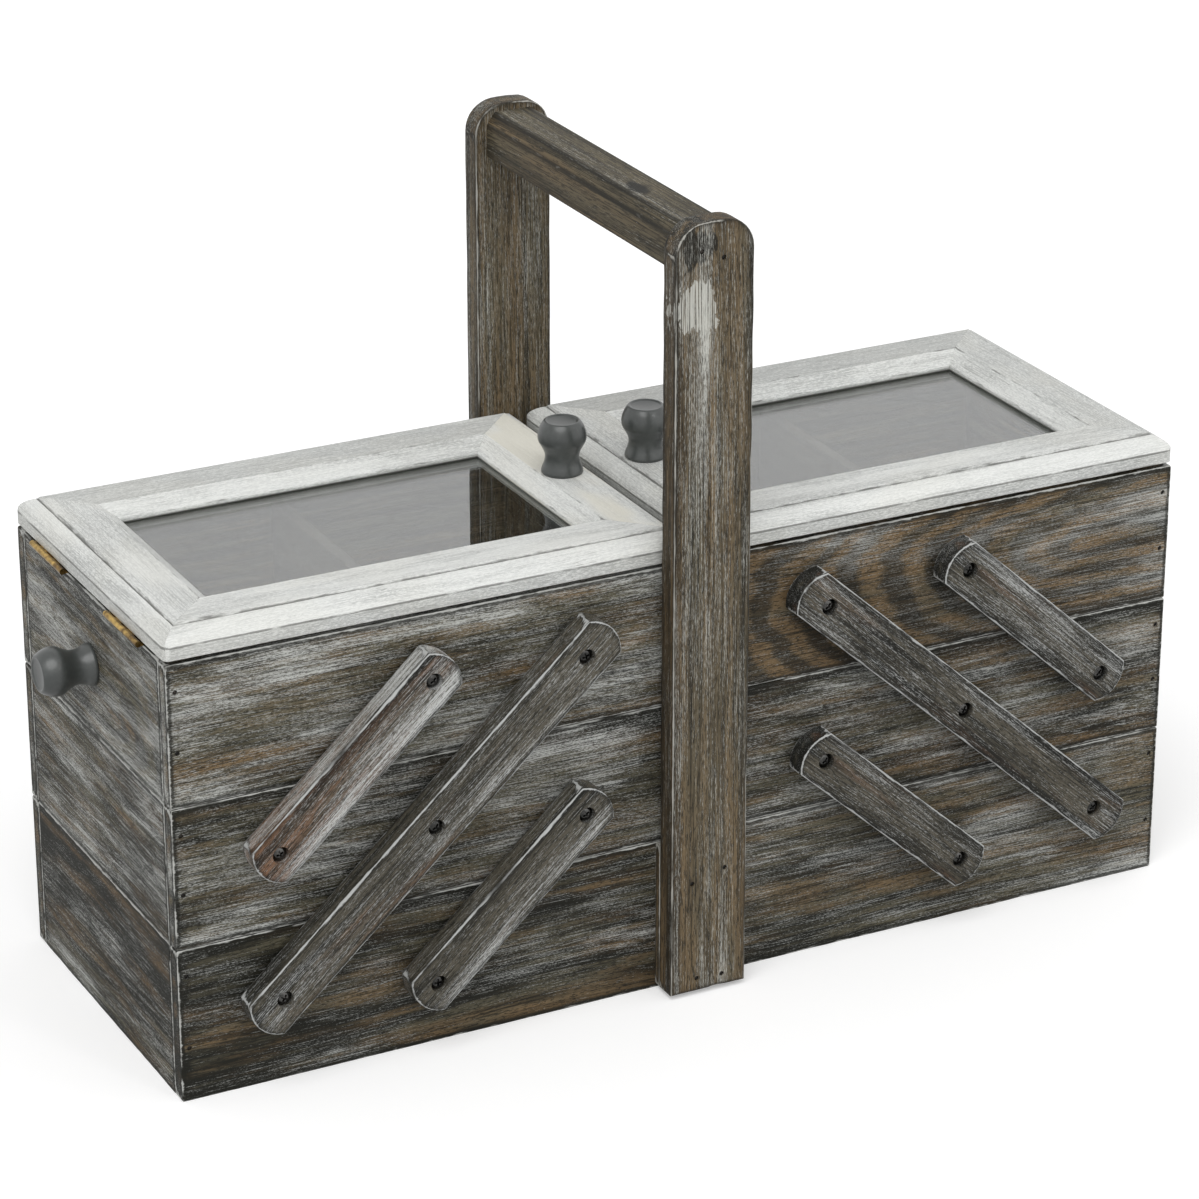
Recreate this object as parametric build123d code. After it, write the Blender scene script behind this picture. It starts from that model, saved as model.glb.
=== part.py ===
"""Cantilever sewing carrier: a long bottom tray, a middle and a top tray on each side that swing
out on wooden link arms, two glazed lids and a fixed carrying handle.

Origin: middle of the underside. +X runs along the box, -Y is the front, +Z is up.
Everything right of the middle is modelled once and mirrored to the left.
"""
from build123d import *
from math import atan2, cos, degrees, radians, sin
import os

os.makedirs("parts", exist_ok=True)

# ---------------------------------------------------------------- driving sizes, in millimetres
# Trays
box_length = 430.0
box_depth = 150.0
base_height = 63.0
tray_height = 57.0
tray_gap = 0.3              # between one tier and the next
middle_gap = 5.6            # between the left and the right trays
board = 7.0                 # thickness of all tray boards
floor_thick = 4.0
edge_round = 0.7            # worn edges
divider_thick = 5.0
divider_height = 45.0
divider_inset = 105.0       # from the box's end to the divider's middle

# Link arms, which stand off the boards
arm_thick = 9.5
arm_stand_off = 3.0
arm_width = 20.0
arm_end_rise = 4.3          # a tip stands this far beyond its shoulders
long_arm_tip = 14.5         # end pivot to tip
short_arm_tip = 10.5
strip_round = 1.2           # worn edges of arms and uprights

# Pivots: three columns of them, in steps of one link
outer_pivot_inset = 37.5    # outer column, from the box's end
inner_pivot_inset = 52.0    # inner column, from the middle of the box
base_pivot_drop = 23.0      # long arm's lowest pivot, below the bottom tray's rim
pivot_step = 0.8            # each tier's pivots are this much lower on their tray
lower_arm_drop = 8.7        # lower short arm, below the long arm's pivots
upper_arm_lift = 3.0        # upper short arm, above the long arm's pivots

# Pivot screws and washers
screw_r = 2.0
screw_head_r = 3.1
screw_head_height = 2.2
screw_bite_left = 1.2       # wood left behind the screw's point
counterbore_r = 3.4
counterbore_depth = 3.5
washer_r = 5.0
pivot_play = 0.08           # radial, between a screw and its arm
side_play = 0.1             # on each face of an arm
fit_play = 0.02             # radial, round a screw or nail that is driven in

# Nails
nail_r = 0.8
nail_bite = 14.0            # beyond the board or strip that it holds
tray_nail_from_bottom = 22.0
tray_nail_from_top = 11.0

# Handle
upright_width = 32.5
upright_thick = 10.0
upright_stand_off = 3.5
upright_rise = 3.0          # above the crossbar, at its crown
upright_foot = 2.0          # above the surface that the box stands on
upright_crown = 1.2
upright_corner = 12.0
crossbar_width = 22.6
crossbar_height = 18.0
crossbar_top = 313.0
crossbar_bevel_wide = 3.5
crossbar_bevel_high = 4.8
foot_nails = ((-5.0, 7.5), (6.0, 7.0), (-7.3, 49.0), (6.8, 53.0))
head_nails = ((-5.5, 10.0), (3.5, 6.5))   # heights above the crossbar's underside
foot_nail_bite = 5.0        # into the bottom tray's board

# Lids
lid_overhang = 0.3
lid_thick = 11.5
lid_edge = 5.0              # upright part of the outer edge
lid_slope = 6.5
lid_slope_top = 10.6
lid_slope_bulge = 0.7
quirk_floor = 10.1
quirk_width = 0.7
lid_flat = 17.1
lid_bevel = 6.5
lid_bevel_drop = 5.0
lid_corner = 3.0
pane_thick = 2.0
pane_height = 2.5           # underside of the pane, above the lid's underside
pane_groove = 4.5
pane_play = 0.1
pane_end_play = 0.4

# Turned knobs
knob_base_r = 8.2
knob_rim_height = 1.2
knob_waist_r = 6.7
knob_waist_height = 6.6
knob_ball_r = 9.6
knob_ball_height = 14.4
knob_crown_r = 7.2
knob_height = 21.5
knob_dish_r = 5.6
knob_dish_depth = 0.7
knob_crown_drop = 0.5       # crown's outer edge, below the top of its ring
knob_dish_rim_drop = 0.3    # crown's inner edge, below the top of its ring
pull_knob_rise = 28.5       # above the underside of its tray
knob_screw_r = 1.7
knob_screw_bite = 11.0
knob_screw_head_r = 3.4
knob_screw_head_height = 2.2

# Lid hinges
hinge_length = 32.0
hinge_spread = 38.0         # each hinge's middle, from the middle of the end
hinge_reach = 6.5           # how far the leaves reach over the end panel
leaf_thick = 0.75
leaf_play = 0.1             # between the closed leaves
barrel_r = 1.2
hinge_pin_r = 0.6
knuckle_count = 5
knuckle_play = 0.1
barrel_play = 0.15
hinge_screw_r = 0.9
hinge_screw_head_r = 1.6
hinge_screw_spread = 11.0
hinge_screw_bite = 6.0

# ---------------------------------------------------------------- places worked out from them
box_end = box_length / 2
front = box_depth / 2                    # distance of the outer faces from the middle
inside = front - board
half_start = middle_gap / 2
mid_bottom = base_height + tray_gap
top_bottom = mid_bottom + tray_height + tray_gap
top_rim = top_bottom + tray_height
leaf_gap = 2 * leaf_thick + leaf_play
lid_bottom = top_rim + leaf_gap

arm_back = front + arm_stand_off
arm_front = arm_back + arm_thick
upright_back = front + upright_stand_off
upright_front = upright_back + upright_thick
upright_top = crossbar_top + upright_rise
crossbar_bottom = crossbar_top - crossbar_height
outer_column = box_end - outer_pivot_inset
link_run = (outer_column - inner_pivot_inset) / 2
middle_column = outer_column - link_run
link_rise = tray_height + tray_gap - pivot_step
arm_angle = degrees(atan2(link_rise, link_run))
base_pivot_z = base_height - base_pivot_drop
mid_pivot_z = base_pivot_z + link_rise
top_pivot_z = mid_pivot_z + link_rise
lower_arm_z = base_pivot_z - lower_arm_drop
upper_arm_z = mid_pivot_z + upper_arm_lift

lid_inner = half_start - lid_overhang
lid_outer = box_end + lid_overhang
lid_side = front + lid_overhang
flat_start = lid_slope + quirk_width
bevel_start = flat_start + lid_flat
rail_width = bevel_start + lid_bevel
barrel_x = lid_outer + barrel_r + barrel_play
barrel_z = top_rim + leaf_gap / 2
lid_knob_x = lid_inner + flat_start + lid_flat / 2
pull_knob_z = top_bottom + pull_knob_rise


# ---------------------------------------------------------------- shapes used more than once
FOOT = (Align.CENTER, Align.CENTER, Align.MIN)


def block(x, y, z):
    """A plain block between the (low, high) pairs x, y and z."""
    size = [high - low for low, high in (x, y, z)]
    middle = [(high + low) / 2 for low, high in (x, y, z)]
    return Pos(*middle) * Box(*size)


def worn_board(x, y, z, radius=edge_round):
    """A block whose edges are worn round."""
    thinnest = min(high - low for low, high in (x, y, z))
    shape = block(x, y, z)
    return fillet(shape.edges(), min(radius, thinnest / 4))


def bar(start, towards, radius, length):
    """A round bar that runs from a point in a direction."""
    return Plane(origin=start, z_dir=towards) * Cylinder(radius, length, align=FOOT)


def turned(points_to_solid, start, towards):
    """Stand a solid, turned about Z with its foot at the origin, at a point in a direction."""
    return Plane(origin=start, z_dir=towards) * points_to_solid


def cut(shape, tools):
    for tool in tools:
        shape = shape - tool
    return shape


def front_and_back(shape):
    """A piece of the front and its twin at the back."""
    return [shape, mirror(shape, about=Plane.XZ)]


def group(shapes):
    """Separate solids that share one node."""
    solids = []
    for shape in shapes:
        solids.extend(shape.solids())
    return Compound(solids)


# ---------------------------------------------------------------- nails
def tray_nail_places(start, end, bottom, top):
    """Where the nails stand in a tray's front board: two at each end of it."""
    heights = (bottom + tray_nail_from_bottom, top - tray_nail_from_top)
    return [(x, z) for x in (start + board / 2, end - board / 2) for z in heights]


def tray_nails(places, radius=nail_r):
    nails = [bar((x, -front, z), (0, 1, 0), radius, board + nail_bite) for x, z in places]
    return [nail for one in nails for nail in front_and_back(one)]


def handle_nails(radius=nail_r):
    """Nails through an upright: four into the bottom tray and two into the crossbar."""
    foot_length = upright_thick + upright_stand_off + foot_nail_bite
    head_length = upright_thick + nail_bite
    nails = []
    for places, start, length in ((foot_nails, 0, foot_length), (head_nails, crossbar_bottom, head_length)):
        for x, rise in places:
            nail = bar((x, -upright_front, start + rise), (0, 1, 0), radius, length)
            nails.extend(front_and_back(nail))
    return nails


# ---------------------------------------------------------------- pivot screws and washers
def pivot_shank(place, radius=screw_r):
    """The plain part of a pivot screw, from its head's underside into the front board."""
    x, z = place
    head_seat = arm_front - counterbore_depth + side_play
    return bar((x, -head_seat, z), (0, 1, 0), radius, head_seat - inside - screw_bite_left)


def middle_of_cap(radius, rise):
    """Point halfway along the section of a spherical cap: its radius and its height above the rim."""
    sphere = (radius**2 + rise**2) / (2 * rise)
    half_angle = atan2(radius, sphere - rise) / 2
    return sphere * sin(half_angle), rise - sphere * (1 - cos(half_angle))


def dome_head(radius, height):
    """A round screw head that stands on the XY plane."""
    rim = height * 0.3
    cap_r, cap_rise = middle_of_cap(radius, height - rim)
    with BuildPart() as head:
        with BuildSketch(Plane.XZ):
            with BuildLine():
                Line((0, 0), (radius, 0))
                Line((radius, 0), (radius, rim))
                ThreePointArc((radius, rim), (cap_r, rim + cap_rise), (0, height))
                Line((0, height), (0, 0))
            make_face()
        revolve(axis=Axis.Z)
    return head.part


def pivot_screw(place):
    x, z = place
    head_seat = arm_front - counterbore_depth + side_play
    head = turned(dome_head(screw_head_r, screw_head_height), (x, -head_seat, z), (0, -1, 0))
    return pivot_shank(place) + head


def pivot_washer(place):
    x, z = place
    thickness = arm_stand_off - side_play
    ring = bar((x, -front, z), (0, -1, 0), washer_r, thickness)
    return ring - bar((x, -front, z), (0, -1, 0), screw_r + fit_play, thickness)


def pivot_hardware(places):
    """The screws and washers of a tray's pivots, front and back."""
    pieces = []
    for place in places:
        pieces.extend(front_and_back(pivot_screw(place)))
        pieces.extend(front_and_back(pivot_washer(place)))
    return pieces


def pivot_holes(places):
    """Screw holes in a front board."""
    return [pivot_shank(place, screw_r + fit_play) for place in places]


# ---------------------------------------------------------------- trays
def tray_boards(start, end, bottom, top, pivots, more_holes=()):
    """Front board, back board, outer end, inner end and floor of a tray open at the top."""
    nail_places = tray_nail_places(start, end, bottom, top)
    nail_holes = tray_nails(nail_places, nail_r + fit_play)
    front_board = worn_board((start, end), (-front, -inside), (bottom, top))
    front_board = cut(front_board, nail_holes + pivot_holes(pivots) + list(more_holes))
    inner_end = cut(worn_board((start, start + board), (-inside, inside), (bottom, top)), nail_holes)
    outer_end = cut(worn_board((end - board, end), (-inside, inside), (bottom, top)), nail_holes)
    floor = block((start + board, end - board), (-inside, inside), (bottom, bottom + floor_thick))
    return front_board, mirror(front_board, about=Plane.XZ), outer_end, inner_end, floor


def base_pieces():
    """The bottom tray, with the screws of its four link arms on each long side."""
    right_pivots = [(outer_column, base_pivot_z), (middle_column, lower_arm_z)]
    pivots = right_pivots + [(-x, z) for x, z in right_pivots]
    boards = tray_boards(-box_end, box_end, 0, base_height, pivots, handle_nails(nail_r + fit_play))
    front_board, back_board, right_end, left_end, floor = boards
    nails = tray_nails(tray_nail_places(-box_end, box_end, 0, base_height))
    return {
        "base_front_board": front_board,
        "base_back_board": back_board,
        "base_right_end": right_end,
        "base_left_end": left_end,
        "base_floor": floor,
        "base_nails": group(nails),
        "base_pivot_screws": group(pivot_hardware(pivots)),
    }


def mid_tray_pieces():
    pivots = [
        (outer_column, upper_arm_z),
        (middle_column, mid_pivot_z),
        (inner_pivot_inset, lower_arm_z + link_rise),
    ]
    boards = tray_boards(half_start, box_end, mid_bottom, mid_bottom + tray_height, pivots)
    front_board, back_board, outer_end, inner_end, floor = boards
    places = tray_nail_places(half_start, box_end, mid_bottom, mid_bottom + tray_height)
    return {
        "mid_front_board": front_board,
        "mid_back_board": back_board,
        "mid_ends": group([outer_end, inner_end]),
        "mid_floor": floor,
        "mid_nails": group(tray_nails(places)),
        "mid_pivot_screws": group(pivot_hardware(pivots)),
    }


def top_tray_pieces():
    pivots = [(inner_pivot_inset, top_pivot_z), (middle_column, upper_arm_z + link_rise)]
    boards = tray_boards(half_start, box_end, top_bottom, top_rim, pivots)
    front_board, back_board, outer_end, inner_end, floor = boards
    pull_screw = knob_screw((box_end - board, 0, pull_knob_z), (1, 0, 0))
    pull_hole = bar((box_end - board, 0, pull_knob_z), (1, 0, 0), knob_screw_r + fit_play, board)
    outer_end = cut(outer_end, [pull_hole] + hinge_screws(-1, fit_play))
    middle = box_end - divider_inset
    floor_top = top_bottom + floor_thick
    divider = worn_board(
        (middle - divider_thick / 2, middle + divider_thick / 2),
        (-inside, inside),
        (floor_top, floor_top + divider_height),
    )
    places = tray_nail_places(half_start, box_end, top_bottom, top_rim)
    screws = pivot_hardware(pivots) + [pull_screw] + hinge_screws(-1)
    return {
        "top_front_board": front_board,
        "top_back_board": back_board,
        "top_ends": group([outer_end, inner_end]),
        "top_floor": floor,
        "top_divider": divider,
        "top_nails": group(tray_nails(places)),
        "top_screws": group(screws),
        "pull_knob": knob((box_end, 0, pull_knob_z), (1, 0, 0)),
        "hinge_tray_leaves": group(hinge_leaves(-1)),
    }


# ---------------------------------------------------------------- link arms
def arm(low_pivot, tip, holes):
    """A front link arm that leans inwards from its lowest pivot, with holes in steps of a link."""
    lean = 180 - arm_angle
    link = (link_run**2 + link_rise**2) ** 0.5
    length = link * (holes - 1)
    half = arm_width / 2
    shoulder = tip - arm_end_rise
    with BuildPart() as part:
        with BuildSketch(Plane.XY):
            with BuildLine():
                Line((-shoulder, -half), (length + shoulder, -half))
                ThreePointArc((length + shoulder, -half), (length + tip, 0), (length + shoulder, half))
                Line((length + shoulder, half), (-shoulder, half))
                ThreePointArc((-shoulder, half), (-tip, 0), (-shoulder, -half))
            make_face()
        extrude(amount=arm_thick)
        fillet(part.edges(), min(strip_round, arm_thick / 4))
        for step in range(holes):
            with Locations((link * step, 0, 0)):
                Cylinder(screw_r + pivot_play, arm_thick, align=FOOT, mode=Mode.SUBTRACT)
            with Locations((link * step, 0, arm_thick - counterbore_depth)):
                Cylinder(counterbore_r, counterbore_depth, align=FOOT, mode=Mode.SUBTRACT)
    x, z = low_pivot
    face = Plane(
        origin=(x, -arm_back, z),
        x_dir=(cos(radians(lean)), 0, sin(radians(lean))),
        z_dir=(0, -1, 0),
    )
    return face * part.part


def arm_pieces():
    return {
        "long_arms": group(front_and_back(arm((outer_column, base_pivot_z), long_arm_tip, 3))),
        "lower_arms": group(front_and_back(arm((middle_column, lower_arm_z), short_arm_tip, 2))),
        "upper_arms": group(front_and_back(arm((outer_column, upper_arm_z), short_arm_tip, 2))),
    }


# ---------------------------------------------------------------- handle
def upright():
    """Front upright: a flat strip with a crowned top and rounded top corners."""
    half = upright_width / 2
    corner_z = upright_top - upright_crown
    with BuildPart() as part:
        with BuildSketch(Plane.XZ.offset(upright_back)):
            with BuildLine():
                Line((-half, corner_z), (-half, upright_foot))
                Line((-half, upright_foot), (half, upright_foot))
                Line((half, upright_foot), (half, corner_z))
                ThreePointArc((half, corner_z), (0, upright_top), (-half, corner_z))
            face = make_face()
            fillet(face.vertices().sort_by(Axis.Z)[-2:], min(upright_corner, half / 2))
        extrude(amount=upright_thick)
        fillet(part.edges(), min(strip_round, upright_thick / 4))
    return part.part


def crossbar():
    """The grip between the uprights, bevelled along its two top edges."""
    half = crossbar_width / 2
    with BuildPart() as part:
        with BuildSketch(Plane.XZ.offset(-upright_back)):
            with BuildLine():
                Polyline(
                    (-half, crossbar_bottom),
                    (half, crossbar_bottom),
                    (half, crossbar_top - crossbar_bevel_high),
                    (half - crossbar_bevel_wide, crossbar_top),
                    (crossbar_bevel_wide - half, crossbar_top),
                    (-half, crossbar_top - crossbar_bevel_high),
                    close=True,
                )
            make_face()
        extrude(amount=2 * upright_back)
        fillet(part.edges().filter_by(Axis.Y), min(strip_round, crossbar_bevel_high / 4))
    return part.part


def handle_pieces():
    holes = handle_nails(nail_r + fit_play)
    front_upright = cut(upright(), holes)
    spacer = block(
        (-upright_width / 2, upright_width / 2),
        (-upright_back, -front),
        (upright_foot, base_height),
    )
    spacer = cut(spacer, holes)
    return {
        "handle_front_upright": front_upright,
        "handle_back_upright": mirror(front_upright, about=Plane.XZ),
        "handle_crossbar": cut(crossbar(), holes),
        "handle_spacers": group(front_and_back(spacer)),
        "handle_nails": group(handle_nails()),
    }


# ---------------------------------------------------------------- turned knobs
def turned_knob():
    """A knob that stands on the XY plane: flared foot, waist, ball and dished crown."""
    dish_rim = knob_height - knob_dish_rim_drop
    dish_r, dish_fall = middle_of_cap(knob_dish_r, knob_dish_depth)
    dish_floor = dish_rim - knob_dish_depth
    crown_z = knob_height - knob_crown_drop
    with BuildPart() as part:
        with BuildSketch(Plane.XZ):
            with BuildLine():
                Line((0, 0), (knob_base_r, 0))
                Line((knob_base_r, 0), (knob_base_r, knob_rim_height))
                Spline(
                    (knob_base_r, knob_rim_height),
                    (knob_waist_r, knob_waist_height),
                    (knob_ball_r, knob_ball_height),
                    (knob_crown_r, crown_z),
                    tangents=[(-0.2, 1), (0, 1), (0, 1), (-0.85, 0.7)],
                )
                ThreePointArc(
                    (knob_crown_r, crown_z),
                    ((knob_crown_r + knob_dish_r) / 2, knob_height),
                    (knob_dish_r, dish_rim),
                )
                ThreePointArc((knob_dish_r, dish_rim), (dish_r, dish_rim - dish_fall), (0, dish_floor))
                Line((0, dish_floor), (0, 0))
            make_face()
        revolve(axis=Axis.Z)
    return part.part


def knob(foot, towards):
    """A knob on a surface, bored for its screw."""
    hole = bar(foot, towards, knob_screw_r + fit_play, knob_screw_bite)
    return turned(turned_knob(), foot, towards) - hole


def knob_screw(start, towards, seat=board):
    """The screw that holds a knob, from its head's seat through the wood and into the knob."""
    away = tuple(-part for part in towards)
    head = turned(dome_head(knob_screw_head_r, knob_screw_head_height), start, away)
    return bar(start, towards, knob_screw_r, seat + knob_screw_bite) + head


# ---------------------------------------------------------------- hinges
def knuckle_spans(middle, owner):
    """Stretches of the barrel along Y: owner 0 has the first, third and last, owner 1 the others."""
    step = hinge_length / knuckle_count
    low = middle - hinge_length / 2
    spans = []
    for index in range(owner, knuckle_count, 2):
        spans.append((low + index * step + knuckle_play / 2, low + (index + 1) * step - knuckle_play / 2))
    return spans


def hinge_leaf(side, middle):
    """One leaf with its knuckles: side -1 is screwed to the tray, side 1 to the lid."""
    owner = 0 if side < 0 else 1
    near = barrel_z + side * leaf_play / 2
    far = near + side * leaf_thick
    z = (min(near, far), max(near, far))
    y = (middle - hinge_length / 2, middle + hinge_length / 2)
    leaf = block((box_end - hinge_reach, barrel_x), y, z)
    for low, high in knuckle_spans(middle, 1 - owner):
        clear = barrel_r + barrel_play
        leaf = leaf - block((barrel_x - clear, barrel_x + clear), (low - knuckle_play, high + knuckle_play),
                            (barrel_z - clear, barrel_z + clear))
    pin_hole = hinge_pin_r + (pivot_play if side < 0 else 0.0)
    for low, high in knuckle_spans(middle, owner):
        leaf = leaf + bar((barrel_x, low, barrel_z), (0, 1, 0), barrel_r, high - low)
    leaf = leaf - bar((barrel_x, y[0], barrel_z), (0, 1, 0), pin_hole, hinge_length)
    return cut(leaf, hinge_screws(side, fit_play, [middle]))


def hinge_leaves(side):
    return [hinge_leaf(side, middle) for middle in (-hinge_spread, hinge_spread)]


def hinge_pins():
    pins = []
    for middle in (-hinge_spread, hinge_spread):
        start = (barrel_x, middle - hinge_length / 2, barrel_z)
        pins.append(bar(start, (0, 1, 0), hinge_pin_r, hinge_length))
    return pins


def hinge_screws(side, play=0.0, middles=(-hinge_spread, hinge_spread)):
    """Countersunk screws through a leaf: side -1 goes down into the tray, side 1 up into the lid."""
    x = box_end - hinge_reach / 2 - leaf_play
    near = barrel_z + side * leaf_play / 2
    screws = []
    for middle in middles:
        for offset in (-hinge_screw_spread, hinge_screw_spread):
            place = Plane(origin=(x, middle + offset, near), z_dir=(0, 0, side))
            head = Cone(hinge_screw_head_r + play, hinge_screw_r + play, leaf_thick, align=FOOT)
            shank = Cylinder(hinge_screw_r + play, hinge_screw_bite, align=FOOT)
            screws.append(place * (head + shank))
    return screws


# ---------------------------------------------------------------- lids
def rail_profile():
    """Section of a lid rail: x from the lid's outer edge inwards, y up from its underside."""
    groove_top = pane_height + pane_thick + pane_play
    groove_bottom = pane_height - pane_play
    inner_top = lid_thick - lid_bevel_drop
    slope_middle = (lid_slope / 2 - lid_slope_bulge, (lid_edge + lid_slope_top) / 2 + lid_slope_bulge)
    with BuildSketch() as section:
        with BuildLine():
            Line((0, 0), (0, lid_edge))
            ThreePointArc((0, lid_edge), slope_middle, (lid_slope, lid_slope_top))
            Polyline(
                (lid_slope, lid_slope_top),
                (lid_slope + quirk_width / 2, quirk_floor),
                (flat_start, lid_thick),
                (bevel_start, lid_thick),
                (rail_width, inner_top),
                (rail_width, groove_top),
                (rail_width - pane_groove, groove_top),
                (rail_width - pane_groove, groove_bottom),
                (rail_width, groove_bottom),
                (rail_width, 0),
                (0, 0),
            )
        make_face()
    return section.sketch


def mitred_rail(corner, along, inwards, length):
    """A rail from a corner of the lid, cut at 45 degrees at both ends."""
    plane = Plane(origin=corner, x_dir=inwards, z_dir=along)
    if plane.y_dir.Z < 0:
        plane = Plane(
            origin=tuple(c + length * a for c, a in zip(corner, along)),
            x_dir=inwards,
            z_dir=tuple(-a for a in along),
        )
    rail = extrude(plane * rail_profile(), amount=length)
    start = Vector(*corner)
    run = Vector(*along)
    across = Vector(*inwards)
    points = [
        start,
        start + run * length,
        start + run * (length - rail_width) + across * rail_width,
        start + run * rail_width + across * rail_width,
    ]
    outline = make_face(Polyline(*[(p.X, p.Y, lid_bottom) for p in points], close=True))
    return rail & extrude(outline, amount=lid_thick, dir=(0, 0, 1))


def lid_rails():
    """Front, back, inner and outer rail, mitred together with softened corners."""
    length = lid_outer - lid_inner
    depth = 2 * lid_side
    front_rail = mitred_rail((lid_inner, -lid_side, lid_bottom), (1, 0, 0), (0, 1, 0), length)
    inner_rail = mitred_rail((lid_inner, -lid_side, lid_bottom), (0, 1, 0), (1, 0, 0), depth)
    outer_rail = mitred_rail((lid_outer, -lid_side, lid_bottom), (0, 1, 0), (-1, 0, 0), depth)
    rounded = block((lid_inner, lid_outer), (-lid_side, lid_side), (lid_bottom, lid_bottom + lid_thick))
    rounded = fillet(rounded.edges().filter_by(Axis.Z), lid_corner)
    front_rail = front_rail & rounded
    return front_rail, mirror(front_rail, about=Plane.XZ), inner_rail & rounded, outer_rail & rounded


def lid_pieces():
    front_rail, back_rail, inner_rail, outer_rail = lid_rails()
    knob_foot = (lid_knob_x, 0, lid_bottom + lid_thick)
    head_seat = (lid_knob_x, 0, lid_bottom + knob_screw_head_height)
    well_r = knob_screw_head_r + fit_play
    head_well = bar((lid_knob_x, 0, lid_bottom), (0, 0, 1), well_r, knob_screw_head_height)
    shank_hole = bar(head_seat, (0, 0, 1), knob_screw_r + fit_play, lid_thick)
    screw = knob_screw(head_seat, (0, 0, 1), lid_thick - knob_screw_head_height)
    inner_rail = cut(inner_rail, [head_well, shank_hole])
    outer_rail = cut(outer_rail, hinge_screws(1, fit_play))
    margin = rail_width - pane_groove + pane_end_play
    pane_bottom = lid_bottom + pane_height
    pane = block(
        (lid_inner + margin, lid_outer - margin),
        (margin - lid_side, lid_side - margin),
        (pane_bottom, pane_bottom + pane_thick),
    )
    return {
        "lid_long_rails": group([front_rail, back_rail]),
        "lid_end_rails": group([inner_rail, outer_rail]),
        "lid_pane": pane,
        "lid_knob": knob(knob_foot, (0, 0, 1)),
        "lid_screws": group([screw] + hinge_screws(1)),
        "hinge_lid_leaves": group(hinge_leaves(1) + hinge_pins()),
    }


# ---------------------------------------------------------------- the whole carrier
def main():
    nodes = {}
    nodes.update(base_pieces())
    nodes.update(handle_pieces())
    half = {}
    for pieces in (mid_tray_pieces(), top_tray_pieces(), arm_pieces(), lid_pieces()):
        half.update(pieces)
    for name, shape in half.items():
        nodes["right_" + name] = shape
        nodes["left_" + name] = mirror(shape, about=Plane.YZ)
    for name, shape in nodes.items():
        export_step(shape, "parts/" + name + ".step")
    print(len(nodes), "nodes; arms swing through", round(180 - 2 * arm_angle, 2), "degrees")


main()
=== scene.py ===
import math
import random

import bmesh
import bpy
import numpy as np
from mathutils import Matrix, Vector
from mathutils.geometry import delaunay_2d_cdt


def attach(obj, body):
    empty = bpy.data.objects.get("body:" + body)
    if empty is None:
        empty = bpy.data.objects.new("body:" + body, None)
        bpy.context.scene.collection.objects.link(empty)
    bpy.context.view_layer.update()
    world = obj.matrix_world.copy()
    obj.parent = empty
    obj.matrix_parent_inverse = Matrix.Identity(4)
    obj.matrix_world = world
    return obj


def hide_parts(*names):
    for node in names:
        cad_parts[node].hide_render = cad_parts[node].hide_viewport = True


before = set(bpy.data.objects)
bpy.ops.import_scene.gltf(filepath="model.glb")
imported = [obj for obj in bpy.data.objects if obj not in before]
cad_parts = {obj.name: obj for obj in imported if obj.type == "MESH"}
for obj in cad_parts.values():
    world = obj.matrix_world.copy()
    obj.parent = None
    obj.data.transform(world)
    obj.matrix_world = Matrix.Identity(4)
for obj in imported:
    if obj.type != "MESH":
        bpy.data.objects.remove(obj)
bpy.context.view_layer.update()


# ---------------- bottom tray: boards
# Softwood boards 7 mm thick, sawn to length, torched, wiped with grey paint and rubbed through
# along their edges. The front and back boards are nailed over the ends.
MM = 0.001
BOARD = 7.0
BOX_END = 215.0
BOX_FRONT = 75.0
BASE_TOP = 63.0
ORIGIN = (0, 0, 0)
RIGHT, LEFT, BACK, FRONT, UP, DOWN = (1, 0, 0), (-1, 0, 0), (0, 1, 0), (0, -1, 0), (0, 0, 1), (0, 0, -1)


def arc(u, v, r, turns):
    """Points on an arc about (u, v), at the given angles."""
    return [(u + r * math.cos(a), v + r * math.sin(a)) for a in turns]


def full_turn(steps):
    """Evenly spaced angles, once round."""
    return [2 * math.pi * k / steps for k in range(steps)]


def board_outline(half_long, half_cross, corner=0.8):
    """Face of a sawn board: gives the outline drawn in by an inset, always with as many points."""
    def outline(inset):
        r = max(corner - inset, 0.01)
        u, v = half_long - inset - r, half_cross - inset - r
        points = []
        for su, sv, turn in ((1, 1, 0), (-1, 1, 90), (-1, -1, 180), (1, -1, 270)):
            points += arc(su * u, sv * v, r, (math.radians(turn + 30 * step) for step in range(4)))
        return points
    return outline


def stepped(points, counts):
    """The same outline with extra points along its long sides."""
    out = []
    for i, count in enumerate(counts):
        a, b = np.array(points[i]), np.array(points[(i + 1) % len(points)])
        out += [a + (b - a) * k / count for k in range(count)]
    return np.array(out)


def worn_radius(n, base, seed):
    """How far the edge is rubbed away at each of n points round an outline, with a few dents."""
    rng = random.Random(seed)
    waves = [(rng.uniform(0.3, 1.0), rng.randint(2, 34), rng.uniform(0, 6.28)) for _ in range(9)]
    t = np.linspace(0, 2 * math.pi, n, endpoint=False)
    r = base * (0.85 + 0.1 * sum(a * np.sin(k * t + p) for a, k, p in waves))
    for _ in range(max(3, n // 40)):
        at, wide = rng.randrange(n), rng.uniform(0.6, 1.6)
        away = np.minimum(abs(np.arange(n) - at), n - abs(np.arange(n) - at))
        r += base * rng.uniform(0.3, 0.9) * np.exp(-((away / wide) ** 2))
    return np.clip(r, base * 0.35, base * 1.9)


def tube(rings):
    """Faces between rings of corners, one ring after another."""
    faces = []
    for low, high in zip(rings, rings[1:]):
        faces += zip(low, low[1:] + low[:1], high[1:] + high[:1], high)
    return faces


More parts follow.
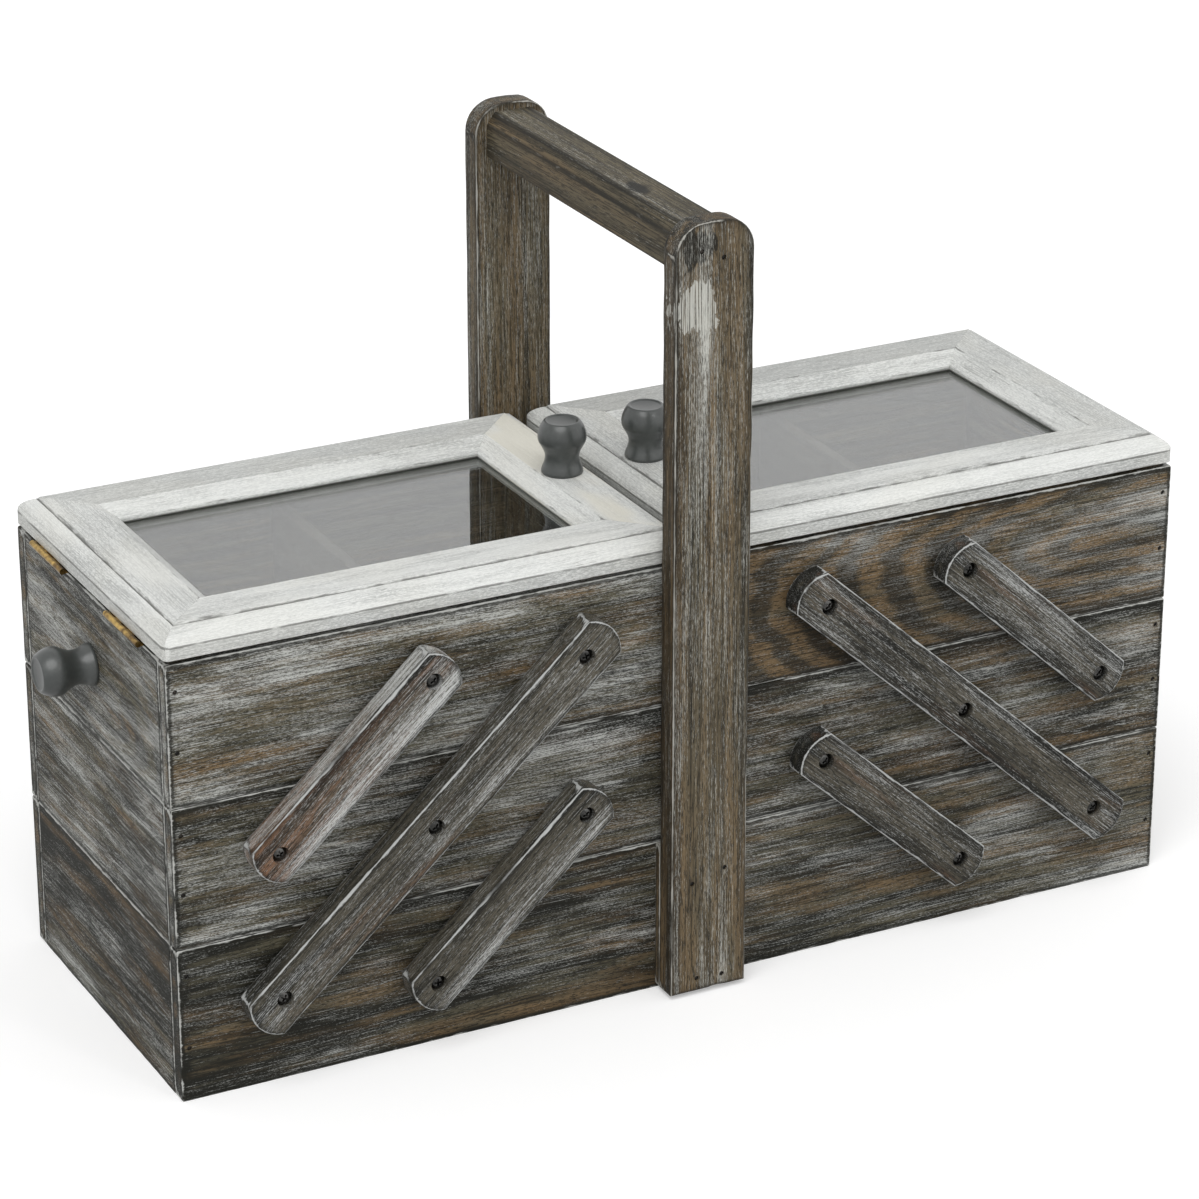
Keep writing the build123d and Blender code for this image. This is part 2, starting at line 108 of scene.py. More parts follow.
def slab(outline, thick, worn=0.55, seed=1, holes=()):
    """A flat piece of wood about its own middle: corners (along, across, through), faces, and each
    corner's distance to the nearest worn edge, all in millimetres. A hole is (along, across,
    radius, depth, radius of the bore that goes on through)."""
    spacing, draw, round_steps, hole_steps, long_side, hole_margin = 4.0, 2.5, 4, 20, 6, 1.4
    wear = 1.9 * worn  # the deepest wear
    key = outline(0.0)
    spans = [math.dist(key[i], key[(i + 1) % len(key)]) for i in range(len(key))]
    counts = [max(1, round(s / spacing)) for s in spans]
    n, half = sum(counts), thick / 2
    rim, drawn = stepped(key, counts), stepped(outline(draw), counts)
    r = worn_radius(n, worn, seed)[:, None]
    depths = [wear + d for d in (0.4, 1.8, 4.2)]
    # how far each point of the rim is from the piece's sharp corners
    at = np.concatenate([[0], np.cumsum(np.linalg.norm(np.diff(rim, axis=0, append=rim[:1]), axis=1))])
    total, at = at[-1], at[:-1]
    hard = [at[sum(counts[:i])] for i, s in enumerate(spans) if max(s, spans[i - 1]) > long_side]
    away = np.array([min(min(abs(a - c), total - abs(a - c)) for c in hard) for a in at])
    # from a flat face, over its rounded edge and down to halfway: points, height and edge
    borders = depths[:1] if holes else depths
    shell = [(stepped(outline(d), counts), half, d - worn) for d in reversed(borders)]
    for k in range(round_steps + 1):
        a = math.pi / 2 * k / round_steps
        points = rim + (drawn - rim) * (r * (1 - math.sin(a)) / draw)
        shell.append((points, (half - r * (1 - math.cos(a)))[:, 0], 0.39 * worn * abs(k - round_steps / 2)))
    inside = wear + 0.6
    shell.append((rim, half - inside, np.minimum(away, inside - worn)))
    layers = [(points, -w, mark) for points, w, mark in shell]
    layers += [(rim, 0.0, np.minimum(away, half))] + shell[::-1]
    rows = []
    for points, w, mark in layers:
        rows.append(np.column_stack([points, np.broadcast_to(w, n), np.broadcast_to(mark, n)]))
    start = len(layers) * n
    faces = tube([list(range(k, k + n)) for k in range(0, start, n)])
    extra, loops, free = [], {1: [], -1: []}, {1: [], -1: []}
    for side, d in [(side, d) for side in (1, -1) for d in depths[1:] if holes]:
        last = (1e9, 1e9)
        for point in stepped(outline(d), counts):
            clear = all(math.dist(point, hole[:2]) > hole[2] + hole_margin for hole in holes)
            if clear and math.dist(point, last) > 1.0:
                free[side].append(start + len(extra))
                extra.append((*point, side * half, d - worn))
                last = point

    def circle(u, v, size, w):
        first = start + len(extra)
        extra.extend((*point, w, 4.0) for point in arc(u, v, size, full_turn(hole_steps)))
        return list(range(first, first + hole_steps))

    for u, v, radius, depth, bore in holes:
        around = circle(u, v, radius + 0.3, half) + circle(u, v, radius + 0.7, half)
        walls = [circle(u, v, radius, half), circle(u, v, radius, half - depth)]
        loops[1].append((u, v, radius, walls[0] + around))
        if bore:
            walls += [circle(u, v, bore, half - depth), circle(u, v, bore, -half)]
            loops[-1].append((u, v, bore, walls[3]))
        else:
            faces.append(tuple(walls[1]))
        faces += tube(walls)
    rows = np.concatenate(rows + [np.reshape(extra, (-1, 4))])
    corners, edge = rows[:, :3], rows[:, 3]
    for side, first in ((1, start - n), (-1, 0)):
        outer = list(range(first, first + n))
        if holes:
            faces += face_with_holes(corners, outer, loops[side], free[side], side)
        else:
            faces.append(tuple(outer if side > 0 else reversed(outer)))
    return corners, faces, edge


def face_with_holes(corners, outer, holes, free, side):
    """Triangles over a flat convex face through its free points, leaving out its round holes."""
    everything = outer + free + [i for hole in holes for i in hole[3]]
    flat = [Vector(corners[i][:2]) for i in everything]
    borders = [(k, (k + 1) % len(outer)) for k in range(len(outer))]
    _, _, triangles, origin, _, _ = delaunay_2d_cdt(flat, borders, [], 0, 1e-6)
    faces = []
    for triangle in triangles:
        a, b, c = (everything[origin[k][0]] for k in triangle)
        pa, pb, pc = (corners[i][:2] for i in (a, b, c))
        middle = (pa + pb + pc) / 3
        if any(math.dist(middle, hole[:2]) < hole[2] * 0.985 for hole in holes):
            continue
        turn = (pb[0] - pa[0]) * (pc[1] - pa[1]) - (pb[1] - pa[1]) * (pc[0] - pa[0])
        faces.append((a, b, c) if turn * side > 0 else (a, c, b))
    return faces


def set_down(corners, middle, along, out):
    """Millimetres about a piece's own middle to millimetres in the whole box."""
    return np.array(middle) + corners @ np.array([along, np.cross(out, along), out], float)


def mesh_of(name, corners, faces=()):
    """A mesh of corners in millimetres."""
    mesh = bpy.data.meshes.new(name)
    mesh.from_pydata((np.array(corners) * MM).tolist(), [], faces)
    return mesh


def store(mesh, name, values):
    """Keeps a number or a vector at each corner of a mesh, for its material."""
    values = np.asarray(values, np.float32)
    kind, field = ("FLOAT_VECTOR", "vector") if values.ndim == 2 else ("FLOAT", "value")
    mesh.attributes.new(name, kind, "POINT").data.foreach_set(field, values.ravel())


def smooth(mesh, sharp):
    """Smooth shading, but for edges sharper than so many degrees."""
    for polygon in mesh.polygons:
        polygon.use_smooth = True
    mesh.set_sharp_from_angle(angle=math.radians(sharp))


def shown(name, mesh):
    """A new object in the scene."""
    made = bpy.data.objects.new(name, mesh)
    bpy.context.scene.collection.objects.link(made)
    return made


def belongs(piece, body, node, slot):
    """Lets a piece ride on its body in the place of a CAD node."""
    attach(piece, body)
    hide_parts(node)


def grain_shift(seed):
    """Where in the endless grain a piece is cut from."""
    return np.array([seed * 137.0 % 911, seed * 61.0 % 407, seed * 23.0 % 173])


def wooden_piece(
    name, shape, place, part, material, tone, seed,
    heart=ORIGIN, grain=1.0, sides=0.0, rise=ORIGIN, inner=0.0,
):
    """One piece of wood, with its own grain, tone and worn edges stored on it. place is its (middle,
    along, out) and part its (body, node, slot). tone is (grey paint, warm brown, char and painted
    shade): one, one for each end, or one for every corner. rise is added to it towards the far edge,
    sides takes paint off the piece's sides and chars them, and inner takes paint off its inner face.
    heart is (along, across, way) of arched grain, and grain under 1 has longer fibres."""
    corners, faces, edge = shape
    mesh = mesh_of(name, set_down(corners, *place), faces)
    shift = grain_shift(seed)
    along, across, through = corners.T
    if np.shape(tone) == (2, 3):
        share = (corners[:, :1] - along.min()) / np.ptp(along)
        tone = np.array(tone[0]) * (1 - share) + np.array(tone[1]) * share
    tones = np.array(np.broadcast_to(tone, corners.shape), float)
    tones += (corners[:, 1:2] - across.min()) / np.ptp(across) * rise
    face = 0.88 * abs(through).max()
    tones[abs(through) < face] += (-0.8 * sides, 0, sides)
    tones[through < -face] += (-inner, 0, 0)
    store(mesh, "plank", corners * (grain, 1, 1) + shift)
    store(mesh, "heart", np.tile(shift * (1, 1, 0) + heart, (len(corners), 1)))
    store(mesh, "tone", tones)
    store(mesh, "edge", edge)
    tidy = bmesh.new()
    tidy.from_mesh(mesh)
    bmesh.ops.remove_doubles(tidy, verts=tidy.verts, dist=1e-6)
    bmesh.ops.dissolve_degenerate(tidy, edges=tidy.edges, dist=1e-7)
    tidy.to_mesh(mesh)
    tidy.free()
    mesh.materials.append(material)
    smooth(mesh, 38)
    piece = shown(name, mesh)
    belongs(piece, *part)
    return piece


def feed(node, sockets):
    """Gives each input of a node a value or another node's output."""
    for index, value in dict(sockets).items():
        value = value.socket if isinstance(value, Value) else value
        if isinstance(value, bpy.types.NodeSocket):
            node.id_data.links.new(value, node.inputs[index])
        else:
            node.inputs[index].default_value = value


def add(tree, kind, sockets=(), **settings):
    """A new node, with its settings by name and its inputs."""
    made = tree.nodes.new(kind)
    for key, value in settings.items():
        setattr(made, key, value)
    feed(made, sockets)
    return made


class Value:
    """What a node gives out. Arithmetic with it adds Math nodes to the same tree."""

    def __init__(self, socket):
        self.socket = socket

    def into(self, kind, sockets, output=0, **settings):
        return Value(add(self.socket.id_data, kind, sockets, **settings).outputs[output])

    def math(self, operation, *others):
        return self.into("ShaderNodeMath", dict(enumerate((self, *others))), operation=operation)

    def __add__(self, other):
        return self.math("ADD", other)

    def __sub__(self, other):
        return self.math("SUBTRACT", other)

    def __rsub__(self, other):
        return self.into("ShaderNodeMath", {0: other, 1: self}, operation="SUBTRACT")

    def __mul__(self, other):
        return self.math("MULTIPLY", other)

    def ramp(self, low, high):
        """0 at low, 1 at high and smooth between them."""
        return self.into("ShaderNodeMapRange", {0: self, 1: low, 2: high}, interpolation_type="SMOOTHSTEP")

    def mix(self, a, b):
        """Colour a going over to colour b."""
        return self.into("ShaderNodeMix", {0: self, 6: a, 7: b}, 2, data_type="RGBA")

    def even_noise(self, scale, detail, roughness):
        settings = {"Vector": self, "Scale": scale, "Detail": detail, "Roughness": roughness}
        return self.into("ShaderNodeTexNoise", settings)

    def noise(self, stretch, detail=2.0, roughness=0.5):
        """Noise whose cells are 1/stretch millimetres along, across and through the wood."""
        scaled = self.into("ShaderNodeVectorMath", {0: self, 1: stretch}, operation="MULTIPLY")
        return scaled.even_noise(1.0, detail, roughness)

    def bump(self, strength, distance):
        return self.into("ShaderNodeBump", {"Strength": strength, "Distance": distance, "Height": self})

    def split(self):
        """The three numbers of a vector."""
        return list(map(Value, add(self.socket.id_data, "ShaderNodeSeparateXYZ", {0: self}).outputs))

    def through(self, group, *others):
        """What a node group makes of this and its other inputs."""
        placed = add(self.socket.id_data, "ShaderNodeGroup", enumerate((self, *others)), node_tree=group)
        return list(map(Value, placed.outputs))


def node_group(build, **inputs):
    """A node group of what build makes of the inputs, which are vectors where given as tuples."""
    def kind(is_vector):
        return "NodeSocketVector" if is_vector else "NodeSocketFloat"

    tree = bpy.data.node_groups.new(build.__name__.replace("_", " "), "ShaderNodeTree")
    for label, value in inputs.items():
        socket = tree.interface.new_socket(label, in_out="INPUT", socket_type=kind(isinstance(value, tuple)))
        socket.default_value = value
    made = build(*map(Value, tree.nodes.new("NodeGroupInput").outputs[:len(inputs)]))
    for label, value in made.items():
        tree.interface.new_socket(label, in_out="OUTPUT", socket_type=kind(value.socket.type == "VECTOR"))
    feed(tree.nodes.new("NodeGroupOutput"), enumerate(made.values()))
    return tree


def wavy_grain(plank, drift):
    """Where the fibres run: the piece's own coordinates, pushed sideways as grain drifts."""
    slow = plank.noise((0.007, 0.03, 0.03), 1.0) - 0.5
    quick = plank.noise((0.03, 0.12, 0.12), 2.0) - 0.5
    push = (quick * 0.18 + slow * 2.0) * drift
    sideways = plank.into("ShaderNodeCombineXYZ", {0: 0.0, 1: push, 2: push})
    return {"Plank": plank.into("ShaderNodeVectorMath", {0: plank, 1: sideways}, operation="ADD")}


def growth_rings(plank, heart):
    """Early and late wood: straight bands along the piece, or arches round a heart, blunt at one
    end and long at the other. The heart's third value is 1 or -1, the way that they open."""
    straight = plank.noise((0.009, 0.26, 0.26), 3.0, 0.55).ramp(0.36, 0.64)
    here, (along, across, way) = plank.split(), heart.split()
    wobble = plank.noise((0.022, 0.07, 0.07), 2.0) * 11.0 - 5.5
    u = (here[0] - along) * way
    u = (u * -0.42).math("MAXIMUM", u * 0.12)
    v = here[1] - across + wobble * 0.6
    r = (u * u + v * v).math("SQRT") + wobble
    arched = ((r * 0.80).math("SINE") * 0.5 + 0.5).ramp(0.15, 0.85)
    return {"Bands": way.into("ShaderNodeMix", {0: way.math("ABSOLUTE"), 2: straight, 3: arched})}


def fibres(plank):
    """Fine lines along the grain, the pores that break them, and their height."""
    lines = plank.noise((0.03, 1.5, 1.5), 3.0, 0.6)
    pores = plank.noise((0.4, 1.9, 1.9), 3.0, 0.7)
    return {"Lines": lines, "Pores": pores, "Height": pores * 0.35 + lines * 0.65}


def edge_wear(plank, edge, width, missing):
    """1 on a rubbed edge, fading over the given width, ragged and broken."""
    ragged = plank.noise((0.2, 0.7, 0.7), 3.0, 0.65)
    patchy = plank.noise((0.045, 0.13, 0.13), 3.0)
    reach = width * (ragged * 3.6 - 0.8)
    return {"Worn": (reach - edge).ramp(-0.12, 0.28) * patchy.ramp(missing - 0.06, missing + 0.10)}


def brushed_paint(plank, grain, amount, bands):
    """Thin paint caught by the raised fibres: fine strokes and specks, dense where it was wiped on."""
    wiped = plank.noise((0.012, 0.050, 0.050), 4.0, 0.6)
    streak = grain.noise((0.013, 0.42, 0.42), 3.0, 0.6)
    strand = grain.noise((0.060, 2.9, 2.9), 2.0, 0.62)
    speck = plank.noise((0.85, 3.6, 3.6), 3.0, 0.75)
    cover = amount * 0.42 + (wiped * 1.25 + streak * 0.40) - bands * 0.10
    level = (cover - 1.02) * 0.32 + (strand * 0.58 + speck * 0.67)
    return {"Strokes": level.ramp(0.600, 0.760), "Wash": cover.ramp(0.94, 1.34)}


WAVY = node_group(wavy_grain, Plank=ORIGIN, Drift=5.0)
RINGS = node_group(growth_rings, Plank=ORIGIN, Heart=ORIGIN)
FIBRES = node_group(fibres, Plank=ORIGIN)
WEAR = node_group(edge_wear, Plank=ORIGIN, Edge=0.0, Width=0.5, Missing=0.42)
PAINT = node_group(brushed_paint, Plank=ORIGIN, Grain=ORIGIN, Amount=0.5, Bands=0.5)


def covered(surface, *layers):
    """A colour with others laid over it, each by its own share."""
    for share, colour in layers:
        surface = share.mix(surface, colour)
    return surface


def new_material(name):
    made = bpy.data.materials.new(name)
    made.use_nodes = True
    return made, made.node_tree, made.node_tree.nodes["Principled BSDF"]


def stored(tree, name):
    """What a piece carries under a name: a number for edge, and a vector for the others."""
    return Value(add(tree, "ShaderNodeAttribute", attribute_name=name).outputs[2 if name == "edge" else 1])


def torched_wood(
    name, char, brown, warm, paint, bare, paint_amount=0.0, edge_width=0.5, bump=0.35, missing=0.42, dirt=1.6
):
    """Torched softwood with grey paint dragged over its raised fibres and pale, rubbed edges."""
    made, tree, shader = new_material(name)
    plank, heart, edge = stored(tree, "plank"), stored(tree, "heart"), stored(tree, "edge")
    painted, warmed, char_and_painted_shade = stored(tree, "tone").split()
    flow = plank.through(WAVY, 4.0)[0]
    bands = flow.through(RINGS, heart)[0]
    lines, pores, relief = flow.through(FIBRES)
    # the scorched wood itself, darker towards its edges
    scorch = plank.noise((0.012, 0.045, 0.045), 4.0, 0.6) * 0.95 + bands * 0.26
    scorch = scorch - char_and_painted_shade * 0.40 - edge.ramp(4.6, 0.6) * (char_and_painted_shade * 0.42)
    warmth = (warmed * 0.32 + flow.noise((0.016, 0.10, 0.10), 3.0, 0.6)).ramp(0.56, 0.84)
    # a burnt spot, with a patch of thicker paint under it
    here, spot = plank.split(), stored(tree, "patch").split()
    rough_edge = plank.noise((0.20, 0.25, 0.25), 4.0, 0.65) * 2.6 - 1.3

    def within(up, size):
        du, dv = (here[0] - spot[0]) * 1.6 - up, (here[1] - spot[1]) * 0.8
        reach = spot[2] * size
        return reach * rough_edge + reach - (du * du + dv * dv).math("SQRT")

    burnt = within(19.0, 0.85).ramp(0.0, 2.0)
    patch = within(0.0, 0.92).ramp(0.0, 0.8) * lines.ramp(0.38, 0.56)
    # grey paint on the raised fibres, the late wood dark through it, dirt, and rubbed edges
    strokes, wash = plank.through(PAINT, flow, burnt * -0.10 + (painted + paint_amount), bands)
    strokes = strokes * (wash * 0.36 + 0.52)
    late = (1.0 - bands) * heart.split()[2].math("ABSOLUTE")
    grimy = (pores * dirt - 0.1 - edge).ramp(-0.5, 0.4)
    surface = covered(
        scorch.ramp(0.24, 0.66).mix(char, brown),
        (warmth * (bands * 0.7 + 0.3) * 0.8, warm),
        (lines.ramp(0.50, 0.37) * 0.72, char),
        (pores.ramp(0.50, 0.40) * 0.75, char),
        (wash * 0.14, paint),
        (burnt * 0.94, char),
        (strokes, paint),
        (late * 0.30, char),
        (patch * 0.78, paint),
        (grimy * 0.78, char),
        (plank.through(WEAR, edge, edge_width, missing)[0] * 0.9, bare),
    )
    feed(shader, {
        "Base Color": surface,
        "Roughness": pores * 0.22 + (strokes * 0.14 + 0.50),
        "Specular IOR Level": 0.2,
        "Normal": (bands * 0.25 + (strokes * 0.25 + relief)).bump(bump, 0.0006),
    })
    return made


torched = torched_wood(
    "torched_boards",
    char=(0.009, 0.009, 0.006, 1),
    brown=(0.112, 0.101, 0.067, 1),
    warm=(0.200, 0.129, 0.063, 1),
    paint=(0.62, 0.63, 0.60, 1),
    bare=(0.50, 0.505, 0.48, 1),
    edge_width=0.42,
    missing=0.38,
    dirt=2.5,
)
NAIL_PIT = (1.0, 0.9, 0)
NAIL_UP, NAIL_DOWN = 22.0, 11.0


def tray_boards(body, prefix, start, end, bottom, top, seed, boards):
    """The four boards of a tray, each given as (name, node, out, tone, other looks). Long boards have
    a pit for each of their four nails, and ends stand between them."""
    half_cross, far = (top - bottom) / 2, BOX_FRONT - BOARD / 2
    for k, (name, node, out, tone, looks) in enumerate(boards):
        if out[1]:
            half_long, worn, x = (end - start) / 2, 0.55, (start + end) / 2
            nails_at, heights = half_long - BOARD / 2, (NAIL_UP - half_cross, half_cross - NAIL_DOWN)
            pits = [(u, v) + NAIL_PIT for u in (-nails_at, nails_at) for v in heights]
        else:
            half_long, worn, x = BOX_FRONT - BOARD, 0.5, end - BOARD / 2 if out[0] > 0 else start + BOARD / 2
            pits = ()
        shape = slab(board_outline(half_long, half_cross), BOARD, worn, seed + k, pits)
        place = ((x, out[1] * far, (bottom + top) / 2), np.cross(UP, out), out)
        part = (body, prefix + node, "board_wood")
        wooden_piece(prefix + name, shape, place, part, torched, tone, seed + k, inner=1.1, **looks)


tray_boards("base", "base_", -BOX_END, BOX_END, 0, BASE_TOP, 3, (
    ("front", "front_board", FRONT, ((0.02, 0.30, 0.60), (0.56, 0.55, 0.32)), {}),
    ("back", "back_board", BACK, (0.4, 0.5, 0.4), {}),
    # the left end darkens and loses paint towards its top edge: painted shade under the seam with the middle
    # tray
    ("left", "left_end", LEFT, ((0.50, 0.35, 0.55), (0.62, 0.35, 0.45)), {"rise": (-0.65, 0, 0.95)}),
    ("right", "right_end", RIGHT, (0.35, 0.45, 0.45), {}),
))


# ---------------- bottom tray: floor
# A 4 mm plywood panel let in between the boards, flush with their undersides and stained dark
# like the inside of the box.
FLOOR = 4.0
stained = torched_wood(
    "stained_plywood",
    char=(0.030, 0.027, 0.021, 1),
    brown=(0.085, 0.073, 0.056, 1),
    warm=(0.10, 0.076, 0.050, 1),
    paint=(0.16, 0.155, 0.14, 1),
    bare=(0.16, 0.14, 0.11, 1),
    paint_amount=-0.25,
    edge_width=0.15,
    bump=0.15,
)


def tray_floor(name, start, end, bottom, body, node, seed):
    """The plywood panel between the boards of one tray."""
    outline = board_outline((end - start) / 2 - BOARD, BOX_FRONT - BOARD, 0.4)
    shape = slab(outline, FLOOR, worn=0.25, seed=seed)
    place = (((start + end) / 2, 0, bottom + FLOOR / 2), RIGHT, UP)
    wooden_piece(name, shape, place, (body, node, "inner_wood"), stained, (0.2, 0.3, 0.3), seed)


tray_floor("base_panel", -BOX_END, BOX_END, 0, "base", "base_floor", 7)


# ---------------- handle
# Two upright battens stand off the bottom tray on spacer blocks and carry a crossbar, which is
# bevelled along its top for the hand. Everything is nailed through the uprights.
UPRIGHT_WIDE, UPRIGHT_THICK, UPRIGHT_OFF = 32.5, 10.0, 3.5
UPRIGHT_FOOT, UPRIGHT_TOP = 2.0, 316.0
UPRIGHT_MIDDLE = (UPRIGHT_FOOT + UPRIGHT_TOP) / 2
UPRIGHT_NAILS = ((-5.0, 7.5), (6.0, 7.0), (-7.3, 49.0), (6.8, 53.0), (-5.5, 305.0), (3.5, 301.5))
UPRIGHT_GRAIN = 0.5
CROWN, TOP_CORNER = 1.2, 12.0


def upright_outline(inset):
    """A batten with a crowned top and round top corners, up by across, about its middle."""
    half, foot, high = UPRIGHT_WIDE / 2, UPRIGHT_FOOT - UPRIGHT_MIDDLE, UPRIGHT_TOP - UPRIGHT_MIDDLE
    crown_r = (half**2 + CROWN**2) / (2 * CROWN)
    side, crown_z = half - TOP_CORNER, high - crown_r
    corner_z = crown_z + math.sqrt((crown_r - TOP_CORNER) ** 2 - side**2)
    meet = math.asin(side / (crown_r - TOP_CORNER))
    arcs = (
        (corner_z, -side, TOP_CORNER, np.linspace(-math.pi / 2, -meet, 9)),
        (crown_z, 0, crown_r, np.linspace(-meet, meet, 5)[1:4]),
        (corner_z, side, TOP_CORNER, np.linspace(meet, math.pi / 2, 9)[1:]),
    )
    points = [(foot + inset, half - inset), (foot + inset, inset - half)]
    for z, x, r, turns in arcs:
        points += arc(z, x, r - inset, turns)
    return points


handle_wood = torched_wood(
    "torched_handle",
    char=(0.012, 0.011, 0.008, 1),
    brown=(0.120, 0.101, 0.065, 1),
    warm=(0.175, 0.122, 0.066, 1),
    paint=(0.62, 0.62, 0.57, 1),
    bare=(0.44, 0.43, 0.39, 1),
    paint_amount=-0.05,
    edge_width=0.34,
)


def upright(name, side, out, node, tone, seed):
    """One upright with its six nail pits. side is -1 for the front."""
    pits = [(z - UPRIGHT_MIDDLE, side * x) + NAIL_PIT for x, z in UPRIGHT_NAILS]
    shape = slab(upright_outline, UPRIGHT_THICK, worn=0.8, seed=seed, holes=pits)
    place = ((0, side * (BOX_FRONT + UPRIGHT_OFF + UPRIGHT_THICK / 2), UPRIGHT_MIDDLE), UP, out)
    part = ("base", node, "handle_wood")
    return wooden_piece(name, shape, place, part, handle_wood, tone, seed, grain=UPRIGHT_GRAIN, sides=0.45)


FRONT_SEED = 21
front_upright = upright("upright_front", -1, FRONT, "handle_front_upright", (0.44, 0.80, 0.28), FRONT_SEED)
# its bare patch, in the coordinates of its grain: middle (up, across) and radius
PATCH_UP, PATCH_ACROSS, PATCH_RADIUS = 284.0, 7.2, 8.4
patch = ((PATCH_UP - UPRIGHT_MIDDLE) * UPRIGHT_GRAIN, PATCH_ACROSS, PATCH_RADIUS)
patch += grain_shift(FRONT_SEED) * (1, 1, 0)
store(front_upright.data, "patch", np.tile(patch, (len(front_upright.data.vertices), 1)))
upright("upright_back", 1, BACK, "handle_back_upright", (0.52, 0.78, -0.10), 22)


def softened(points, arrises, radius):
    """A profile with its arrises rounded a little, extra points beside them, and each point's
    distance to the nearest arris."""
    out, marks, far, beside = [], [], 3.0, (0.9, 2.2)
    n = len(points)
    for i in range(n):
        before, p, after = (np.array(points[j % n], float) for j in (i - 1, i, i + 1))
        length = np.linalg.norm(after - p)
        if i in arrises:
            back = np.linalg.norm(before - p)
            r = min(radius, back / 3, length / 3)
            a, b = (before - p) / back * r, (after - p) / length * r
            out += [p + (1 - k) ** 2 * a + k**2 * b for k in (0, 0.5, 1)]
            marks += [0.0] * 3
        else:
            out.append(p)
            marks.append(far)
        if length > 4 * radius + 0.6:
            for away in sorted({*beside, *(length - d for d in beside)}):
                if radius < away < length - radius:
                    out.append(p + (after - p) * away / length)
                    ends = (away if i in arrises else far, length - away if (i + 1) % n in arrises else far)
                    marks.append(min(ends) - radius)
    return np.array(out), np.array(marks)


def moulding(profile, marks, stations, place):
    """A length of wood with one profile (across, through). place(station, profile) gives where each
    point of a station stands: (along, across) for each, and how far it is from the piece's end."""
    corners, edge = [], []
    for a in stations:
        along, across, from_end = place(a, profile)
        corners.append(np.column_stack([along, across, profile[:, 1]]))
        edge.append(np.minimum(marks, from_end))
    n = len(profile)
    rings = [list(range(k, k + n)) for k in range(0, n * len(stations), n)]
    faces = tube(rings) + [rings[0][::-1], rings[-1]]
    return np.concatenate(corners), faces, np.concatenate(edge)


BAR_WIDE, BAR_HIGH, BAR_TOP, BAR_EDGE, BAR_BEVEL = 22.6, 18.0, 313.0, 13.2, 3.5
KNOT, KNOT_SIZE = (33.0, -3.0, BAR_HIGH), (4.6, 1.9, 6.0)
half = BAR_WIDE / 2
bar_points = [(-half, 0), (half, 0), (half, BAR_EDGE), (half - BAR_BEVEL, BAR_HIGH)]
bar_points += [(x, BAR_HIGH) for x in (2.0, -0.5, -3.0, -5.5, BAR_BEVEL - half)] + [(-half, BAR_EDGE)]
bar_profile, bar_marks = softened(bar_points, {0, 1, 2, 3, 8, 9}, 0.6)
bar_end, bar_stations, unseen_end = BOX_FRONT + UPRIGHT_OFF, 53, 9.0
shape = moulding(
    bar_profile,
    bar_marks + 0.55,
    np.linspace(-bar_end, bar_end, bar_stations),
    lambda a, profile: (np.full(len(profile), a), profile[:, 0], np.full(len(profile), unseen_end)),
)
knot = np.linalg.norm((shape[0] - KNOT) / KNOT_SIZE, axis=1)
bar_tone = np.array([-0.45, 0.35, 0.20]) + np.clip(1.6 - knot, 0, 1)[:, None] * (-1.5, -0.3, 2.6)
bar_tone[:, :2] += np.where(shape[0][:, 2:] > BAR_HIGH - 0.5, (0.50, -0.30), (0.0, 0.15))
place = ((0, 0, BAR_TOP - BAR_HIGH), FRONT, UP)
part = ("base", "handle_crossbar", "handle_wood")
wooden_piece("crossbar", shape, place, part, handle_wood, bar_tone, 23, grain=0.4)
SPACER_HALF = 30.5
for name, side, out in (("spacer_front", -1, FRONT), ("spacer_back", 1, BACK)):
    outline = board_outline(SPACER_HALF, UPRIGHT_WIDE / 2, 0.5)
    shape = slab(outline, UPRIGHT_OFF, worn=0.3, seed=24 + side)
    place = ((0, side * (BOX_FRONT + UPRIGHT_OFF / 2), UPRIGHT_FOOT + SPACER_HALF), UP, out)
    part = ("base", "handle_spacers", "handle_wood")
    wooden_piece(name, shape, place, part, handle_wood, (0.2, 1.0, 0.1), 25)


# ---------------- middle trays
# Each is a tray of four boards with a let-in plywood floor. It fills one half of the box, with a
# 5.6 mm gap in the middle for the other half.
TRAY_HIGH = 57.0
TIER_GAP = 0.3
HALF_START = 2.8
MID_BOTTOM = BASE_TOP + TIER_GAP
SIDES = (("left", -1), ("right", 1))


def half_tray(side, sign, tier, bottom, seed, front, back, ends, front_heart=ORIGIN, end_heart=ORIGIN):
    """The boards and floor of one half tray, with the tones of its front, back and ends."""
    body, prefix = f"{side}_{tier}_tray", f"{side}_{tier}_"
    start, end = sorted((sign * HALF_START, sign * BOX_END))
    tray_boards(body, prefix, start, end, bottom, bottom + TRAY_HIGH, seed, (
        ("front", "front_board", FRONT, front, {"heart": front_heart}),
        ("back", "back_board", BACK, back, {}),
        ("outer_end", "ends", (sign, 0, 0), ends, {"heart": end_heart}),
        ("inner_end", "ends", (-sign, 0, 0), ends, {}),
    ))
    tray_floor(prefix + "panel", start, end, bottom, body, prefix + "floor", seed + 4)


mid_ends = ((0.62, 0.40, 0.62), (0.80, 0.35, 0.75))
half_tray("left", -1, "mid", MID_BOTTOM, 31, (0.54, 0.35, 0.40), (0.35, 0.5, 0.5), mid_ends)
half_tray("right", 1, "mid", MID_BOTTOM, 41, (0.46, 0.45, 0.52), (0.4, 0.5, 0.4), (0.4, 0.5, 0.4))


